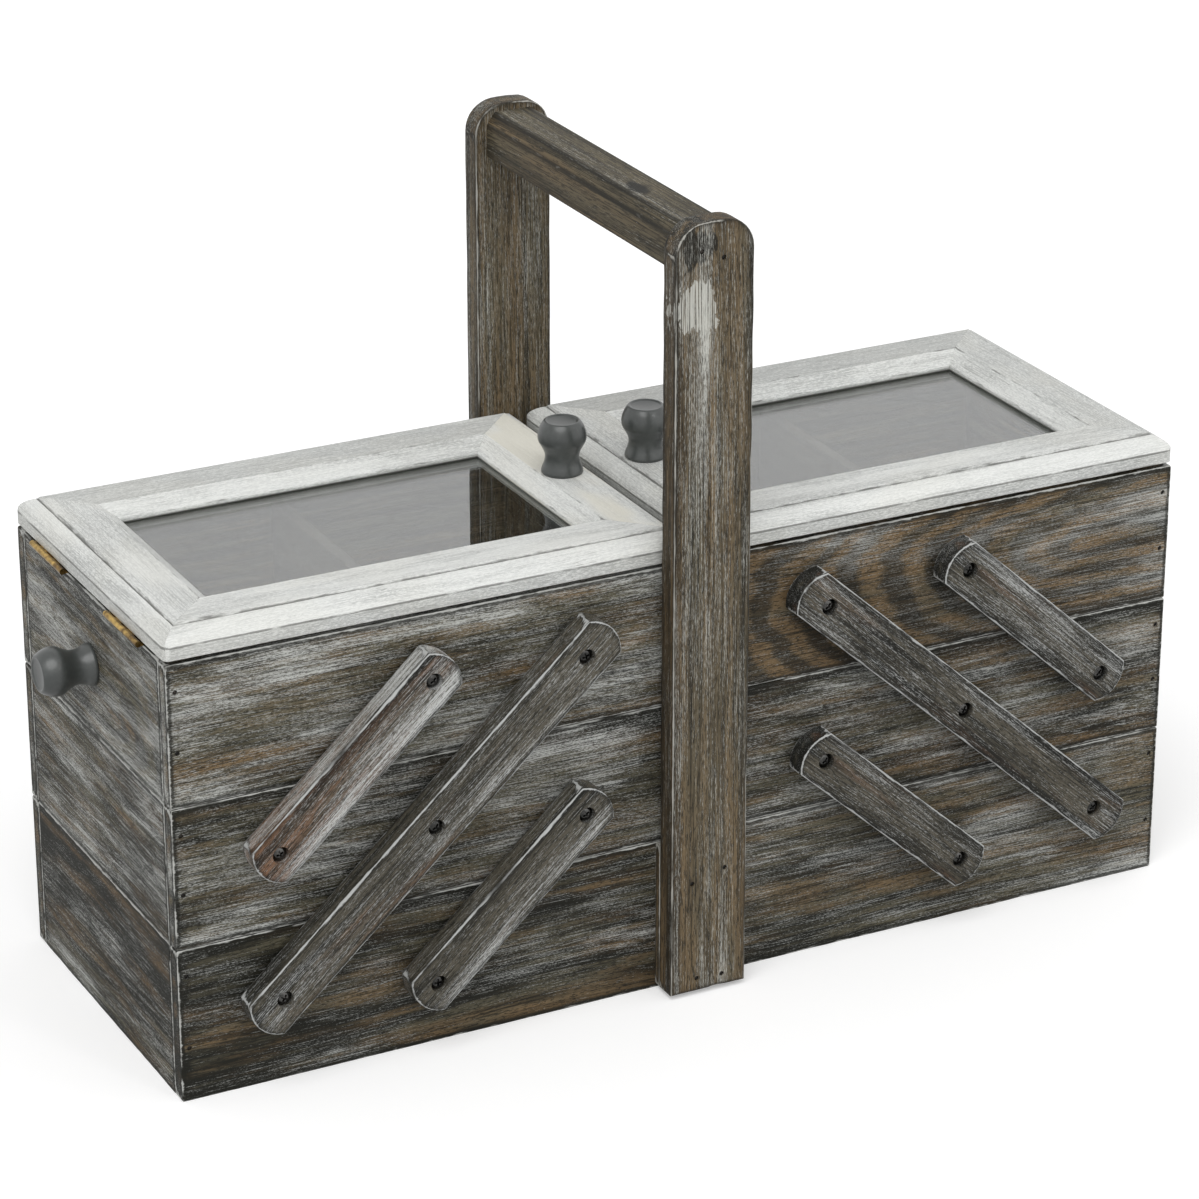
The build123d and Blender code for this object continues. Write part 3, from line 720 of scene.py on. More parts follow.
# ---------------- top trays
# The same as the middle trays, with a divider across each. The arched grain of plain-sawn boards
# shows on the right one's front and on the left one's outer end.
TOP_BOTTOM = MID_BOTTOM + TRAY_HIGH + TIER_GAP
TOP_RIM = TOP_BOTTOM + TRAY_HIGH
DIVIDER_X, DIVIDER_HIGH, DIVIDER_THICK = 110.0, 45.0, 5.0
PLAIN_TONE = (0.5, 0.5, 0.4)
left_ends = ((0.72, 0.35, 0.50), (1.00, 0.20, 0.50))
right_front = ((0.10, 1.0, 0.38), (0.62, 0.8, 0.28))
half_tray("left", -1, "top", TOP_BOTTOM, 51, (0.6, 0.45, 0.3), PLAIN_TONE, left_ends, end_heart=(18, -14, -1))
half_tray("right", 1, "top", TOP_BOTTOM, 61, right_front, PLAIN_TONE, PLAIN_TONE, front_heart=(66, 3, 1))
for side, sign in SIDES:
    outline = board_outline(BOX_FRONT - BOARD, DIVIDER_HIGH / 2)
    shape = slab(outline, DIVIDER_THICK, worn=0.5, seed=70 + sign)
    place = ((sign * DIVIDER_X, 0, TOP_BOTTOM + FLOOR + DIVIDER_HIGH / 2), BACK, (sign, 0, 0))
    part = (side + "_top_tray", side + "_top_divider", "inner_wood")
    wooden_piece(side + "_divider", shape, place, part, stained, (0.5, 0.4, 0.2), 71)


# ---------------- link arms
# Battens 20 mm wide and 9.5 mm thick with shallow round ends. They are bored through for their
# pivot screws and counterbored so that the heads lie below the face.
ARM_WIDE, ARM_THICK, ARM_OFF = 20.0, 9.5, 3.0
ARM_END_RISE = 4.3
OUTER_COLUMN, MIDDLE_COLUMN, INNER_COLUMN = 177.5, 114.75, 52.0
BASE_PIVOT, MID_PIVOT, TOP_PIVOT = 40.0, 96.5, 153.0
LOWER_DROP, UPPER_LIFT = 8.7, 3.0
HEAD_DEEP = 3.5
PIVOT_HOLE = (3.4, HEAD_DEEP, 2.08)
arm_wood = torched_wood(
    "torched_arms",
    char=(0.009, 0.009, 0.007, 1),
    brown=(0.095, 0.085, 0.064, 1),
    warm=(0.240, 0.122, 0.066, 1),
    paint=(0.60, 0.61, 0.595, 1),
    bare=(0.49, 0.50, 0.49, 1),
    paint_amount=-0.06,
    edge_width=0.45,
    missing=0.35,
)


def arm_outline(length, tip):
    """A batten with an arc across each end, about the middle of its length."""
    half, reach = ARM_WIDE / 2, length / 2 + tip
    end_r = (half**2 + ARM_END_RISE**2) / (2 * ARM_END_RISE)

    def outline(inset):
        r = end_r - inset
        lean = math.asin((half - inset) / r)
        turns = [lean * (k / 4 - 1) for k in range(9)]
        return arc(reach - end_r, 0, r, turns) + arc(end_r - reach, 0, -r, turns)
    return outline


def arm(name, low, high, holes, tip, y, out, node, tone, sides, seed):
    """One arm from its low pivot to its high one, with its holes evenly spaced."""
    length = float(np.linalg.norm(high - low))
    way, middle = (high - low) / length, (low + high) / 2
    spots = [(length * (k / (holes - 1) - 0.5), 0.0) + PIVOT_HOLE for k in range(holes)]
    shape = slab(arm_outline(length, tip), ARM_THICK, worn=0.7, seed=seed, holes=spots)
    place = ((middle[0], y * (BOX_FRONT + ARM_OFF + ARM_THICK / 2), middle[1]), (way[0], 0, way[1]), out)
    wooden_piece(name, shape, place, (node, node, "arm_wood"), arm_wood, tone, seed, grain=0.7, sides=sides)


# low pivot, high pivot, holes, end pivot to tip
ARMS = {
    "long": ((OUTER_COLUMN, BASE_PIVOT), (INNER_COLUMN, TOP_PIVOT), 3, 14.5),
    "lower": ((MIDDLE_COLUMN, BASE_PIVOT - LOWER_DROP), (INNER_COLUMN, MID_PIVOT - LOWER_DROP), 2, 10.5),
    "upper": ((OUTER_COLUMN, MID_PIVOT + UPPER_LIFT), (MIDDLE_COLUMN, TOP_PIVOT + UPPER_LIFT), 2, 10.5),
}
# tone, and how much its sides are charred
ARM_LOOKS = {
    "left_long": ((0.38, 0.05, 0.15), -0.1),
    "left_lower": ((0.34, 0.0, 0.12), -0.1),
    "left_upper": (((0.48, 1.05, 0.30), (0.84, 0.40, 0.30)), -0.55),
    "right_long": ((0.40, 0.0, 0.30), 0.4),
    "right_lower": ((0.36, 0.0, 0.15), 0.4),
    "right_upper": ((0.62, 0.0, 0.2), 0.4),
}
for side, sign in SIDES:
    for kind, (low, high, holes, tip) in ARMS.items():
        low, high = np.array([sign * low[0], low[1]]), np.array([sign * high[0], high[1]])
        tone, sides = ARM_LOOKS[f"{side}_{kind}"]
        for face, y, out in (("front", -1, FRONT), ("back", 1, BACK)):
            name = f"{side}_{kind}_arm_{face}"
            seed = 80 + len(name) * 3 + (7 if y > 0 else 0) + (2 if sign > 0 else 0)
            arm(name, low, high, holes, tip, y, out, f"{side}_{kind}_arms", tone, sides, seed)


# ---------------- pivot screws and washers
# Blackened round-head screws, one at each pivot, front and back. Each goes through its arm and a
# thick washer and bites in the board, and is left loose enough for the arm to turn.
def lathe(profile, steps=32):
    """Corners and faces of a turned shape from (radius, height) points, foot first. It ends on its
    axis or where it began."""
    corners, rings = [], []
    for radius, height in profile:
        count = 1 if radius < 1e-6 else steps
        rings.append([len(corners) + k % count for k in range(steps)])
        corners += [(*point, height) for point in arc(0, 0, radius, full_turn(steps)[:count])]
    if profile[0] == profile[-1]:
        corners, rings[-1] = corners[:-steps], rings[0]
    # a ring on the axis is a single corner, so the faces beside it have three
    return corners, [tuple(dict.fromkeys(face)) for face in tube(rings)]


def turned_object(name, corners, faces):
    """A smooth-shaded object of lathed corners and faces."""
    mesh = mesh_of(name, corners, faces)
    smooth(mesh, 40)
    return shown(name, mesh)


def domed_screw(length, shank, head, rim, high, steps):
    """Profile of a screw with a domed head, from its point up. 0 is the head's seat."""
    profile = [(0, -length), (shank, -length), (shank, 0.0), (head, 0.0), (head, rim)]
    for k in range(1, steps + 1):
        a = math.pi / 2 * k / steps
        profile.append((head * math.cos(a) if k < steps else 0.0, rim + (high - rim) * math.sin(a)))
    return profile


def apply_modifiers(made):
    """Gives an object the mesh that its modifiers make of it."""
    finished = bpy.data.meshes.new_from_object(made.evaluated_get(bpy.context.evaluated_depsgraph_get()))
    made.modifiers.clear()
    made.data = finished


SQUARE = ((-1, -1), (1, -1), (1, 1), (-1, 1))


def cross_recess(screw, top, deep, arm_long, arm_wide):
    """Cuts a cross into a screw head with a Boolean. It narrows from well above the head's top to
    its own floor."""
    corners, faces = [], []
    for turn in (0, math.pi / 2):
        upper, lower = (list(range(first, first + 4)) for first in (len(corners), len(corners) + 4))
        for z, share in ((top + 1.0, 1.25), (top - deep, 0.45)):
            for u, v in SQUARE:
                x, y = u * arm_long * share, v * arm_wide * (0.7 + 0.3 * share)
                x, y = x * math.cos(turn) - y * math.sin(turn), x * math.sin(turn) + y * math.cos(turn)
                corners.append((x, y, z))
        faces += [upper, lower[::-1]] + [(upper[k - 3], upper[k], lower[k], lower[k - 3]) for k in range(4)]
    cutter = shown("recess", mesh_of("recess", corners, faces))
    cut = screw.modifiers.new("recess", "BOOLEAN")
    cut.object, cut.operation, cut.solver, cut.use_self = cutter, "DIFFERENCE", "EXACT", True
    apply_modifiers(screw)
    bpy.data.objects.remove(cutter)


def fastener_layout():
    """Geometry Nodes that set a copy of one fastener at each point, facing the way that the point's
    "facing" says and turned about itself by chance."""
    tree = bpy.data.node_groups.new("fastener layout", "GeometryNodeTree")
    inputs = {"Geometry": "Geometry", "Fastener": "Object", "Turn Seed": "Int", "Material": "Material"}
    for label, kind in inputs.items():
        tree.interface.new_socket(label, in_out="INPUT", socket_type="NodeSocket" + kind)
    tree.interface.new_socket("Geometry", in_out="OUTPUT", socket_type="NodeSocketGeometry")
    points, fastener, seed, material = tree.nodes.new("NodeGroupInput").outputs[:4]
    facing = add(tree, "GeometryNodeInputNamedAttribute", {0: "facing"}, data_type="FLOAT_VECTOR").outputs[0]
    aim = add(tree, "FunctionNodeAlignRotationToVector", {2: facing}, axis="Z").outputs[0]
    turn = add(tree, "FunctionNodeRandomValue", {2: 0.0, 3: 6.283, 8: seed}, data_type="FLOAT").outputs[1]
    spin = add(tree, "ShaderNodeCombineXYZ", {2: turn}).outputs[0]
    rotated = add(tree, "FunctionNodeRotateRotation", {0: aim, 1: spin}, rotation_space="LOCAL").outputs[0]
    source = add(tree, "GeometryNodeObjectInfo", {0: fastener}, transform_space="ORIGINAL")
    copies = {0: points, 2: source.outputs["Geometry"], 5: rotated}
    placed = add(tree, "GeometryNodeInstanceOnPoints", copies).outputs[0]
    real = add(tree, "GeometryNodeRealizeInstances", {0: placed}).outputs[0]
    final = add(tree, "GeometryNodeSetMaterial", {0: real, 2: material}).outputs[0]
    feed(tree.nodes.new("NodeGroupOutput"), {0: final})
    return tree


LAYOUT = fastener_layout()


def fasteners(name, pattern, places, material, body, node, slot, seed=1):
    """One mesh of like fasteners. places are (point, facing) in millimetres in the whole box."""
    mesh = mesh_of(name, [point for point, _ in places])
    store(mesh, "facing", [way for _, way in places])
    made = shown(name, mesh)
    layout = made.modifiers.new("layout", "NODES")
    layout.node_group = LAYOUT
    values = {"Fastener": pattern, "Turn Seed": seed, "Material": material}
    for item in LAYOUT.interface.items_tree:
        if item.name in values:
            layout[item.identifier] = values[item.name]
    bpy.context.view_layer.update()
    apply_modifiers(made)
    made.data.materials.clear()
    made.data.materials.append(material)
    belongs(made, body, node, slot)


def metal(name, colour, worn, roughness, metallic, bump=0.12, scale=900.0, coat=0.0, specular=0.5):
    """Metal or painted metal with faint scuffs and an uneven finish."""
    made, tree, shader = new_material(name)
    place = Value(add(tree, "ShaderNodeTexCoord").outputs["Object"])
    cloud, grit = place.even_noise(scale * 0.18, 3.0, 0.5), place.even_noise(scale, 2.0, 0.6)
    feed(shader, {
        "Base Color": (grit * 0.4 + cloud * 0.6).ramp(0.42, 0.66).mix(colour, worn),
        "Roughness": cloud * 0.22 + (roughness - 0.11),
        "Metallic": metallic,
        "Specular IOR Level": specular,
        "Coat Weight": coat,
        "Coat Roughness": 0.18,
        "Normal": grit.bump(bump, 0.0002),
    })
    return made


SCREW_HIGH = 2.2
screw_profile = domed_screw(14.0, 2.0, 3.1, 0.66, SCREW_HIGH, 8)
washer_profile = [
    (2.05, -9.0), (4.8, -9.0), (5.0, -8.8), (5.0, -6.35), (4.8, -6.15), (2.05, -6.15), (2.05, -9.0),
]
pivot_screw = turned_object("pivot_screw", *lathe(screw_profile))
cross_recess(pivot_screw, SCREW_HIGH, 1.2, 1.75, 0.42)
washer = turned_object("washer", *lathe(washer_profile))
dark_steel = metal("blackened_steel", (0.020, 0.020, 0.018, 1), (0.10, 0.098, 0.092, 1), 0.22, 1.0, coat=0.6)
washer_steel = metal("washer_steel", (0.05, 0.047, 0.042, 1), (0.14, 0.13, 0.12, 1), 0.45, 0.8)
HEAD_SEAT = BOX_FRONT + ARM_OFF + ARM_THICK - HEAD_DEEP + 0.1


def both_faces(spots, y):
    """Places at (x, z) on the front, facing forwards, and on the back, facing backwards."""
    return [((x, way * y, z), (0, way, 0)) for x, z in spots for way in (-1, 1)]


def pivot_fasteners(name, body, node, spots):
    """Screws and washers for the pivots that bite in one body; spots are (x, z)."""
    places = both_faces(spots, HEAD_SEAT)
    fasteners(name + "_heads", pivot_screw, places, dark_steel, body, node, "screw_steel", len(name))
    fasteners(name + "_washers", washer, places, washer_steel, body, node, "screw_steel")


base_spots = [(OUTER_COLUMN, BASE_PIVOT), (MIDDLE_COLUMN, BASE_PIVOT - LOWER_DROP)]
base_spots += [(-x, z) for x, z in base_spots]
pivot_fasteners("base_pivot_screws", "base", "base_pivot_screws", base_spots)
mid_spots = [
    (OUTER_COLUMN, MID_PIVOT + UPPER_LIFT),
    (MIDDLE_COLUMN, MID_PIVOT),
    (INNER_COLUMN, MID_PIVOT - LOWER_DROP),
]
top_spots = [(INNER_COLUMN, TOP_PIVOT), (MIDDLE_COLUMN, TOP_PIVOT + UPPER_LIFT)]
for side, sign in SIDES:
    for tier, node, spots in (("mid", "_mid_pivot_screws", mid_spots), ("top", "_top_screws", top_spots)):
        body, name = f"{side}_{tier}_tray", f"{side}_{tier}_pivot_screws"
        pivot_fasteners(name, body, side + node, [(sign * x, z) for x, z in spots])


# ---------------- nails
# Thin dark brads with small heads, punched just below the surface: two at each end of every long
# board, and six through each upright.
brad_profile = [(0, -19.0), (0.72, -18.0), (0.72, -0.35), (0.85, -0.2), (0.85, -0.05), (0.6, 0.03), (0, 0.05)]
brad = turned_object("brad", *lathe(brad_profile, 12))
nail_steel = metal("nail_steel", (0.012, 0.011, 0.010, 1), (0.05, 0.042, 0.035, 1), 0.5, 0.6)
PUNCHED = 0.55


def board_nails(name, body, node, start, end, bottom, top):
    """The brads at the ends of one tray's front and back boards."""
    heights = (bottom + NAIL_UP, top - NAIL_DOWN)
    spots = [(x, z) for x in (start + BOARD / 2, end - BOARD / 2) for z in heights]
    fasteners(name, brad, both_faces(spots, BOX_FRONT - PUNCHED), nail_steel, body, node, "nail_steel")


board_nails("base_brads", "base", "base_nails", -BOX_END, BOX_END, 0, BASE_TOP)
for side, sign in SIDES:
    start, end = sorted((sign * HALF_START, sign * BOX_END))
    for tier, bottom in (("mid", MID_BOTTOM), ("top", TOP_BOTTOM)):
        name = f"{side}_{tier}"
        board_nails(name + "_brads", name + "_tray", name + "_nails", start, end, bottom, bottom + TRAY_HIGH)
places = both_faces(UPRIGHT_NAILS, BOX_FRONT + UPRIGHT_OFF + UPRIGHT_THICK - PUNCHED)
fasteners("handle_brads", brad, places, nail_steel, "base", "handle_nails", "nail_steel")


# ---------------- knobs
# Turned knobs in satin grey: a flared foot, a waist, a ball and a dished top with a ring cut round
# it. One pulls each top tray from its end, and one lifts each lid.
def smooth_profile(points, steps):
    """More points on a smooth line through the given ones."""
    out = []
    ends = [points[0], *points, points[-1]]
    for four in zip(ends, ends[1:], ends[2:], ends[3:]):
        a, b, c, d = (np.array(p, float) for p in four)
        for t in (k / steps for k in range(steps)):
            bend = (2 * a - 5 * b + 4 * c - d) * t**2 + (3 * b - a - 3 * c + d) * t**3
            out.append(tuple(0.5 * (2 * b + (c - a) * t + bend)))
    return out + [points[-1]]


knob_foot = [(0, 0), (7.6, 0), (8.0, 0.12), (8.2, 0.4)]
knob_side = [
    (8.2, 1.2), (7.75, 2.6), (7.05, 4.4), (6.7, 6.6), (7.0, 8.7), (8.2, 11.2),
    (9.2, 13.0), (9.55, 14.7), (9.3, 16.9), (8.4, 19.3), (7.4, 20.9),
]
knob_top = [
    (7.15, 21.2), (6.75, 21.45), (6.3, 21.45), (6.0, 21.25), (5.75, 21.0),
    (5.4, 20.95), (4.2, 20.75), (2.4, 20.58), (0, 20.5),
]
knob_corners, knob_faces = lathe(knob_foot + smooth_profile(knob_side, 4) + knob_top, 64)
satin_grey = metal(
    "satin_grey", (0.046, 0.051, 0.049, 1), (0.062, 0.068, 0.065, 1), 0.36, 0.0,
    bump=0.05, scale=500.0, coat=0.25, specular=0.55,
)


def knob(name, foot, along, out, body, node):
    """A knob standing on foot, pointing out."""
    made = turned_object(name, set_down(np.array(knob_corners), foot, along, out), knob_faces)
    made.data.materials.append(satin_grey)
    belongs(made, body, node, "knob_metal")


PULL_Z = TOP_BOTTOM + TRAY_HIGH / 2
LID_BOTTOM, LID_THICK, LID_OVER = TOP_RIM + 1.6, 11.5, 0.3
FLAT_START, FLAT_END = 7.2, 24.3
LID_KNOB_X = HALF_START - LID_OVER + (FLAT_START + FLAT_END) / 2
for side, sign in SIDES:
    pull_foot, lift_foot = (sign * BOX_END, 0, PULL_Z), (sign * LID_KNOB_X, 0, LID_BOTTOM + LID_THICK)
    knob(side + "_pull", pull_foot, BACK, (sign, 0, 0), side + "_top_tray", side + "_pull_knob")
    knob(side + "_lift", lift_foot, BACK, UP, side + "_lid", side + "_lid_knob")


# ---------------- lids: rails
# Four moulded rails mitred together: an upright edge, a round slope, a fine quirk, a flat and a
# bevel down to the glass. Limed white, with the grain and the joints showing grey.
RAIL_WIDE, GROOVE_START, GROOVE_LOW, GROOVE_HIGH, BEVEL_END = 30.8, 26.3, 2.4, 4.6, 6.5
SLOPE_TOP, SLOPE_FOOT, SLOPE_BULGE, SLOPE_OUT = (6.5, 10.6), (0, 5.0), 0.95, (-0.66, 0.75)
QUIRK = (6.8, 10.1)
WELL_RADIUS, WELL_DEEP, WELL_STEPS = 3.42, 2.2, 24
rail_points = [
    (0, 0), (RAIL_WIDE, 0), (RAIL_WIDE, GROOVE_LOW), (GROOVE_START, GROOVE_LOW), (GROOVE_START, GROOVE_HIGH),
    (RAIL_WIDE, GROOVE_HIGH), (RAIL_WIDE, BEVEL_END), (FLAT_END, LID_THICK), (FLAT_START, LID_THICK),
    QUIRK, SLOPE_TOP,
]
for t in (k / 6 for k in range(1, 6)):
    at = np.array(SLOPE_TOP) * (1 - t) + np.array(SLOPE_FOOT) * t
    rail_points.append(tuple(at + np.array(SLOPE_OUT) * SLOPE_BULGE * 4 * t * (1 - t)))
rail_points.append(SLOPE_FOOT)
rail_profile, rail_marks = softened(rail_points, {0, 1, 5, 6, 7, 8, 9, 10, 16}, 0.3)
across, up = rail_profile.T
# painted shade: corners in the quirk are marked below zero, so that a dark line is laid in it; the arris at
# the slope's foot is marked the same way for a line of dirt
in_quirk = (abs(across - 6.85) < 0.45) & (up > 9.0) & (up < 11.2)
on_arris = (across < 0.2) & (abs(up - SLOPE_FOOT[1]) < 0.32)
rail_marks = np.where(in_quirk | on_arris, -0.15, rail_marks + 0.08)


def rail(length):
    """One rail with mitred ends, and outer corners rounded to 3 mm."""
    corner, half = 3.0, length / 2
    # stations over the mitres, the first where the rounding meets them, and then evenly spaced
    ends = [0.8787, 1.3, 1.9, 3.0, 6.0, 9.0, 12.0, 15.5, 19.0, 22.5, 26.0, 31.0, 32.5]
    even_from, spacing = 36.0, 14
    between = np.linspace(even_from - half, half - even_from, max(3, round(length / spacing)))
    stations = np.concatenate([[e - half for e in ends], between, [half - e for e in reversed(ends)]])

    def rounding(s):
        return corner - np.sqrt(np.maximum(corner**2 - np.maximum(corner - s, 0) ** 2, 0))

    def place(a, profile):
        end = half - abs(a)
        x = np.maximum(profile[:, 0], rounding(np.maximum(end, profile[:, 0])))
        s = np.maximum(np.maximum(end, x), rounding(end))
        return math.copysign(1, a) * (half - s), x, (s - x) / math.sqrt(2) + 0.02

    return moulding(rail_profile, rail_marks, stations, place)


def with_well(shape, across, radius, deep, steps):
    """The same rail with a round well in the middle of its underside, for a knob's screw head. The
    last corners are the well's floor."""
    corners, faces, edge = shape
    n, first = len(rail_profile), len(corners)
    at = first // 2 // n * n + int(np.diff(rail_profile[:, 0]).argmax())
    ring = [first + k for k in range(steps)]
    # the two faces that meet halfway along the underside are cut out, each along half of the well
    before, after = faces[at - n], faces[at]
    faces = [face for face in faces if face not in (before, after)]
    faces.append(before[3:] + before[:3] + tuple(ring[: steps // 2 + 1]))
    faces.append(after[1:] + after[:1] + tuple(ring[steps // 2 :] + ring[:1]))
    faces += [(k, i, i + steps, k + steps) for i, k in zip(ring, ring[1:] + ring[:1])]
    faces.append([k + steps for k in reversed(ring)])
    turns = math.pi / 2 + 2 * math.pi * np.arange(steps) / steps
    rim = np.column_stack([radius * np.cos(turns), across + radius * np.sin(turns), np.zeros(steps)])
    corners = np.concatenate([corners, rim, rim + (0, 0, deep)])
    return corners, faces, np.append(edge, np.full(2 * steps, edge[at]))


def limed_wood(name, white, grey, line, warm):
    """Softwood under thin white paint: grey grain, dark pores, fine dark lines at the arrises, and
    painted shade laid on in the line colour by the third tone.
    """
    made, tree, shader = new_material(name)
    plank, edge = stored(tree, "plank"), stored(tree, "edge")
    greyed, yellowed, char_and_painted_shade = stored(tree, "tone").split()
    flow = plank.through(WAVY, 2.5)[0]
    bands = flow.through(RINGS, stored(tree, "heart"))[0]
    _, pores, relief = flow.through(FIBRES)
    # the grain shows where the paint is thin
    thin = plank.noise((0.016, 0.07, 0.07), 4.0, 0.6)
    bare = (greyed * 0.22 + (bands * 0.12 + thin)).ramp(0.50, 0.90)
    fine_lines = flow.noise((0.05, 2.8, 2.8), 2.0, 0.6).ramp(0.52, 0.38)
    mottle = flow.noise((0.60, 2.4, 2.4), 3.0, 0.75).ramp(0.60, 0.40)
    ticks = flow.noise((0.14, 2.0, 2.0), 2.0, 0.65).ramp(0.64, 0.72) * thin.ramp(0.42, 0.60)
    beige = plank.noise((0.02, 0.045, 0.045), 2.0).ramp(0.42, 0.62)
    # dirt lies along the arrises and in the joints, and a dark line in the quirk is painted shade
    reach = plank.noise((0.10, 0.6, 0.6), 3.0, 0.6) * 1.1 - 0.50
    surface = covered(
        white,
        ((bare * 0.30 + 0.12) * fine_lines, line),
        (bare * 0.17, grey),
        (mottle * (bare * 0.46 + 0.27), grey),
        (ticks * 0.62, line),
        (beige * yellowed, warm),
        ((reach - edge).ramp(-0.05, 0.2) * 0.70, line),
        # painted shade: the line colour laid on by the third tone, darkest in the glass groove, under the
        # inner rails and in the knob wells
        (char_and_painted_shade, line),
    )
    feed(shader, {
        "Base Color": surface,
        "Roughness": pores * 0.2 + 0.46,
        "Specular IOR Level": 0.3,
        "Normal": (bands * 0.2 + relief - ticks * 0.6).bump(0.3, 0.0005),
    })
    return made


limed = limed_wood(
    "limed_rails",
    white=(0.80, 0.81, 0.785, 1),
    grey=(0.36, 0.37, 0.36, 1),
    # line is also the colour of the painted shade in the quirk, the glass groove, under the inner rails and
    # in the knob wells
    line=(0.085, 0.085, 0.075, 1),
    warm=(0.74, 0.715, 0.62, 1),
)
inner, outer, front = HALF_START - LID_OVER, BOX_END + LID_OVER, BOX_FRONT + LID_OVER
long_shape, end_shape = rail(outer - inner), rail(2 * front)
well_shape = with_well(end_shape, LID_KNOB_X - inner, WELL_RADIUS, WELL_DEEP, WELL_STEPS)
for side, sign in SIDES:
    mid = sign * (inner + outer) / 2
    # how beige the inner rail is, how much thinner the paint, and how much darker the back and outer rails
    beige, worn = (0.75, 0.0) if sign < 0 else (0.25, 0.7)
    front_tone, back_tone = (0.45 + 0.6 * worn, 0.1, 0), (1.5 + worn, 0.1, 0.08 + 0.13 * worn)
    inner_tone, outer_tone = (0.5 + worn, beige, 0), (1.0 + worn, 0.15, 0.05 * worn)
    rails = (
        ("front", long_shape, mid, -front, RIGHT, "long", front_tone),
        ("back", long_shape, mid, front, LEFT, "long", back_tone),
        ("inner", well_shape, sign * inner, 0, (0, -sign, 0), "end", inner_tone),
        ("outer", end_shape, sign * outer, 0, (0, sign, 0), "end", outer_tone),
    )
    for k, (name, shape, x, y, along, kind, tone) in enumerate(rails):
        # painted shade: the groove that holds the glass and the lip's inner face under it are darkened
        # through the third tone
        _, in_from_edge, up = shape[0].T
        groove = (in_from_edge > GROOVE_START - 0.3) & (up > 0.25) & (up < GROOVE_HIGH + 0.4)
        tone = np.array(tone) + groove[:, None] * (0, 0, 0.9)
        # painted light: the bevels down to the glass are laid on whiter and cleaner than the flat, as if lit
        bevel = (in_from_edge > FLAT_END + 0.1) & (up > 6.0)
        tone[bevel] *= 0.25
        slope = (in_from_edge < SLOPE_TOP[0] - 0.05) & (up > SLOPE_FOOT[1] + 0.1)
        tone[slope, 0] -= 0.5
        outer_edge = (in_from_edge < 0.05) & (up < SLOPE_FOOT[1] - 0.2)
        tone[outer_edge] += (1.1, 0, 0.06)
        if name == "inner":
            # painted shade: a dark band along the bottom of the inner rail's edge, as a contact shadow
            tone[(in_from_edge < 0.1) & (up < SLOPE_FOOT[1] / 2), 2] = 0.6
            # painted shade: the floor of the knob's well is darkened
            tone[-WELL_STEPS:, 2] = 0.7
        place, part = ((x, y, LID_BOTTOM), along, UP), (side + "_lid", f"{side}_lid_{kind}_rails", "lid_wood")
        wooden_piece(f"{side}_lid_{name}_rail", shape, place, part, limed, tone, 101 + k + 5 * (sign > 0))


# ---------------- lids: panes
# A 2 mm sheet of clear glass in the groove of each lid's rails. Lamp light goes straight through
# it, so that the trays below are lit.
GLASS_TINT = (0.93, 0.955, 0.945, 1)
glass, tree, shader = new_material("window_glass")
feed(shader, {"Base Color": GLASS_TINT, "Roughness": 0.015, "IOR": 1.75, "Transmission Weight": 1.0})
clear = add(tree, "ShaderNodeBsdfTransparent", {0: GLASS_TINT}).outputs[0]
shadow = add(tree, "ShaderNodeLightPath").outputs["Is Shadow Ray"]
mixed = add(tree, "ShaderNodeMixShader", {0: shadow, 1: shader.outputs[0], 2: clear}).outputs[0]
feed(tree.nodes["Material Output"], {"Surface": mixed})


def finish_node(node, material):
    """Gives a CAD node that is shown as it is its material."""
    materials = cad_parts[node].data.materials
    materials.clear()
    materials.append(material)


for side, _ in SIDES:
    finish_node(side + "_lid_pane", glass)


# ---------------- lids: hinges and small screws
# Two brass butt hinges at the outer end of each top tray: a leaf on the tray's end board, a leaf
# under the lid and a barrel outside. Countersunk screws hold the leaves, and one round-head screw
# holds each knob.
HINGES_AT, LEAF_SCREWS_AT, LEAF_SCREW_X = (-38, 38), (-11, 11), 211.65
BARREL_Z, LEAF_GAP = TOP_RIM + 0.8, 0.06
old_brass = metal(
    "old_brass", (0.16, 0.095, 0.030, 1), (0.62, 0.42, 0.13, 1), 0.30, 1.0, bump=0.05, scale=420.0,
)
bright_steel = metal("dull_steel", (0.16, 0.155, 0.145, 1), (0.30, 0.29, 0.27, 1), 0.4, 0.9)
leaf_profile = [(0, -6.0), (0.5, -5.6), (0.9, -4.4), (0.9, -0.72), (1.58, 0.0), (1.3, 0.02), (0, 0.03)]
leaf_screw = turned_object("leaf_screw", *lathe(leaf_profile, 20))
cross_recess(leaf_screw, 0.03, 0.5, 0.95, 0.2)
FIXING_HIGH = 2.18
fixing_profile = domed_screw(13.0, 1.7, 3.4, 0.5, FIXING_HIGH, 6)
fixing_screw = turned_object("fixing_screw", *lathe(fixing_profile, 28))
cross_recess(fixing_screw, FIXING_HIGH, 1.2, 1.8, 0.42)
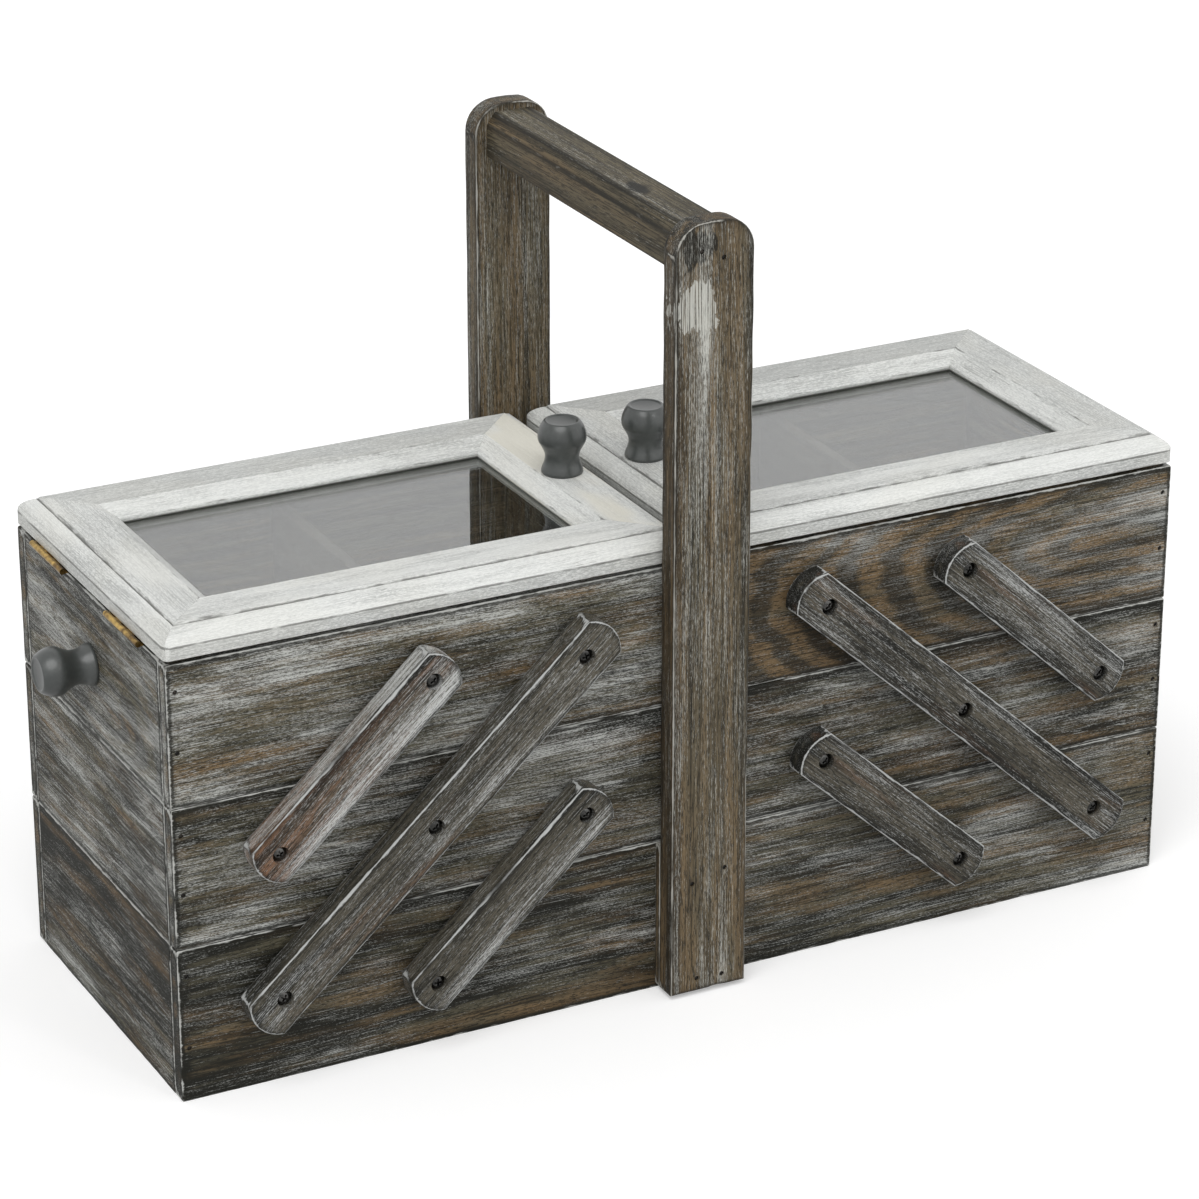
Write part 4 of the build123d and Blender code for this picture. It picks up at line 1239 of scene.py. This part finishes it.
for side, sign in SIDES:
    for node in ("_hinge_tray_leaves", "_hinge_lid_leaves"):
        finish_node(side + node, old_brass)
    spots = [(sign * LEAF_SCREW_X, y + off) for y in HINGES_AT for off in LEAF_SCREWS_AT]
    tray_part = (side + "_top_tray", side + "_top_screws", "screw_steel")
    lid_part = (side + "_lid", side + "_lid_screws", "screw_steel")
    places = [((x, y, BARREL_Z - LEAF_GAP), UP) for x, y in spots]
    fasteners(side + "_tray_leaf_screws", leaf_screw, places, old_brass, *tray_part, 3)
    places = [((x, y, BARREL_Z + LEAF_GAP), DOWN) for x, y in spots]
    fasteners(side + "_lid_leaf_screws", leaf_screw, places, old_brass, *lid_part, 4)
    places = [((sign * (BOX_END - BOARD), 0, PULL_Z), (-sign, 0, 0))]
    fasteners(side + "_pull_screw", fixing_screw, places, bright_steel, *tray_part, 5)
    places = [((sign * LID_KNOB_X, 0, LID_BOTTOM + WELL_DEEP), DOWN)]
    fasteners(side + "_lift_screw", fixing_screw, places, bright_steel, *lid_part, 6)
for pattern in (pivot_screw, washer, brad, leaf_screw, fixing_screw):
    bpy.data.objects.remove(pattern)


# ---------------- floor, light and camera
# A pale plain floor that goes over into a white background, and soft light from above.
floor_white, tree, shader = new_material("floor_white")
feed(shader, {"Base Color": (0.80, 0.80, 0.80, 1), "Roughness": 0.95, "Specular IOR Level": 0.1})
lift = Value(add(tree, "ShaderNodeLightPath").outputs["Is Camera Ray"]) * 0.32
glow = add(tree, "ShaderNodeEmission", {0: (1, 1, 1, 1), 1: lift}).outputs[0]
both = add(tree, "ShaderNodeAddShader", {0: shader.outputs[0], 1: glow}).outputs[0]
feed(tree.nodes["Material Output"], {"Surface": both})
FLOOR_REACH = 9000
floor_mesh = mesh_of("floor", [(u * FLOOR_REACH, v * FLOOR_REACH, 0) for u, v in SQUARE], [(0, 1, 2, 3)])
floor_mesh.materials.append(floor_white)
shown("floor", floor_mesh)

world = bpy.data.worlds.new("studio")
bpy.context.scene.world = world
world.use_nodes = True
sky = world.node_tree
paths = add(sky, "ShaderNodeLightPath").outputs
seen_by = [Value(paths[f"Is {kind} Ray"]) for kind in ("Camera", "Glossy", "Transmission")]
direct = seen_by[0].math("MAXIMUM", seen_by[1].math("MAXIMUM", seen_by[2]))
lit = sky.nodes["Background"]
feed(lit, {"Color": (1, 1, 1, 1), "Strength": 0.55})
seen = add(sky, "ShaderNodeBackground", {0: (1, 1, 1, 1), 1: 1.0}).outputs[0]
final = add(sky, "ShaderNodeMixShader", {0: direct, 1: lit.outputs[0], 2: seen}).outputs[0]
feed(sky.nodes["World Output"], {"Surface": final})


def soft_light(name, way, strength, spread):
    """Even light that falls along the given way from a wide soft source."""
    lamp = bpy.data.lights.new(name, "SUN")
    lamp.energy, lamp.angle = strength, math.radians(spread)
    shown(name, lamp).rotation_euler = Vector(way).to_track_quat("-Z", "Y").to_euler()


soft_light("key", (0.45, 0.55, -1.0), 1.42, 45)
soft_light("fill", (-0.6, 0.7, -0.5), 0.30, 70)
soft_light("glint", (-0.30, 0.78, -0.55), 0.20, 8)

eye = bpy.data.cameras.new("camera")
eye.lens, eye.sensor_width, eye.clip_end = 133.61, 36.0, 40.0
camera = shown("camera", eye)
yaw, pitch = 0.4753, 0.4039
camera.rotation_euler = (math.pi / 2 - pitch, 0, -yaw)
camera.location = (-0.7406, -1.4352, 0.8234)
bpy.context.scene.camera = camera
bpy.context.scene.view_settings.view_transform = "Standard"
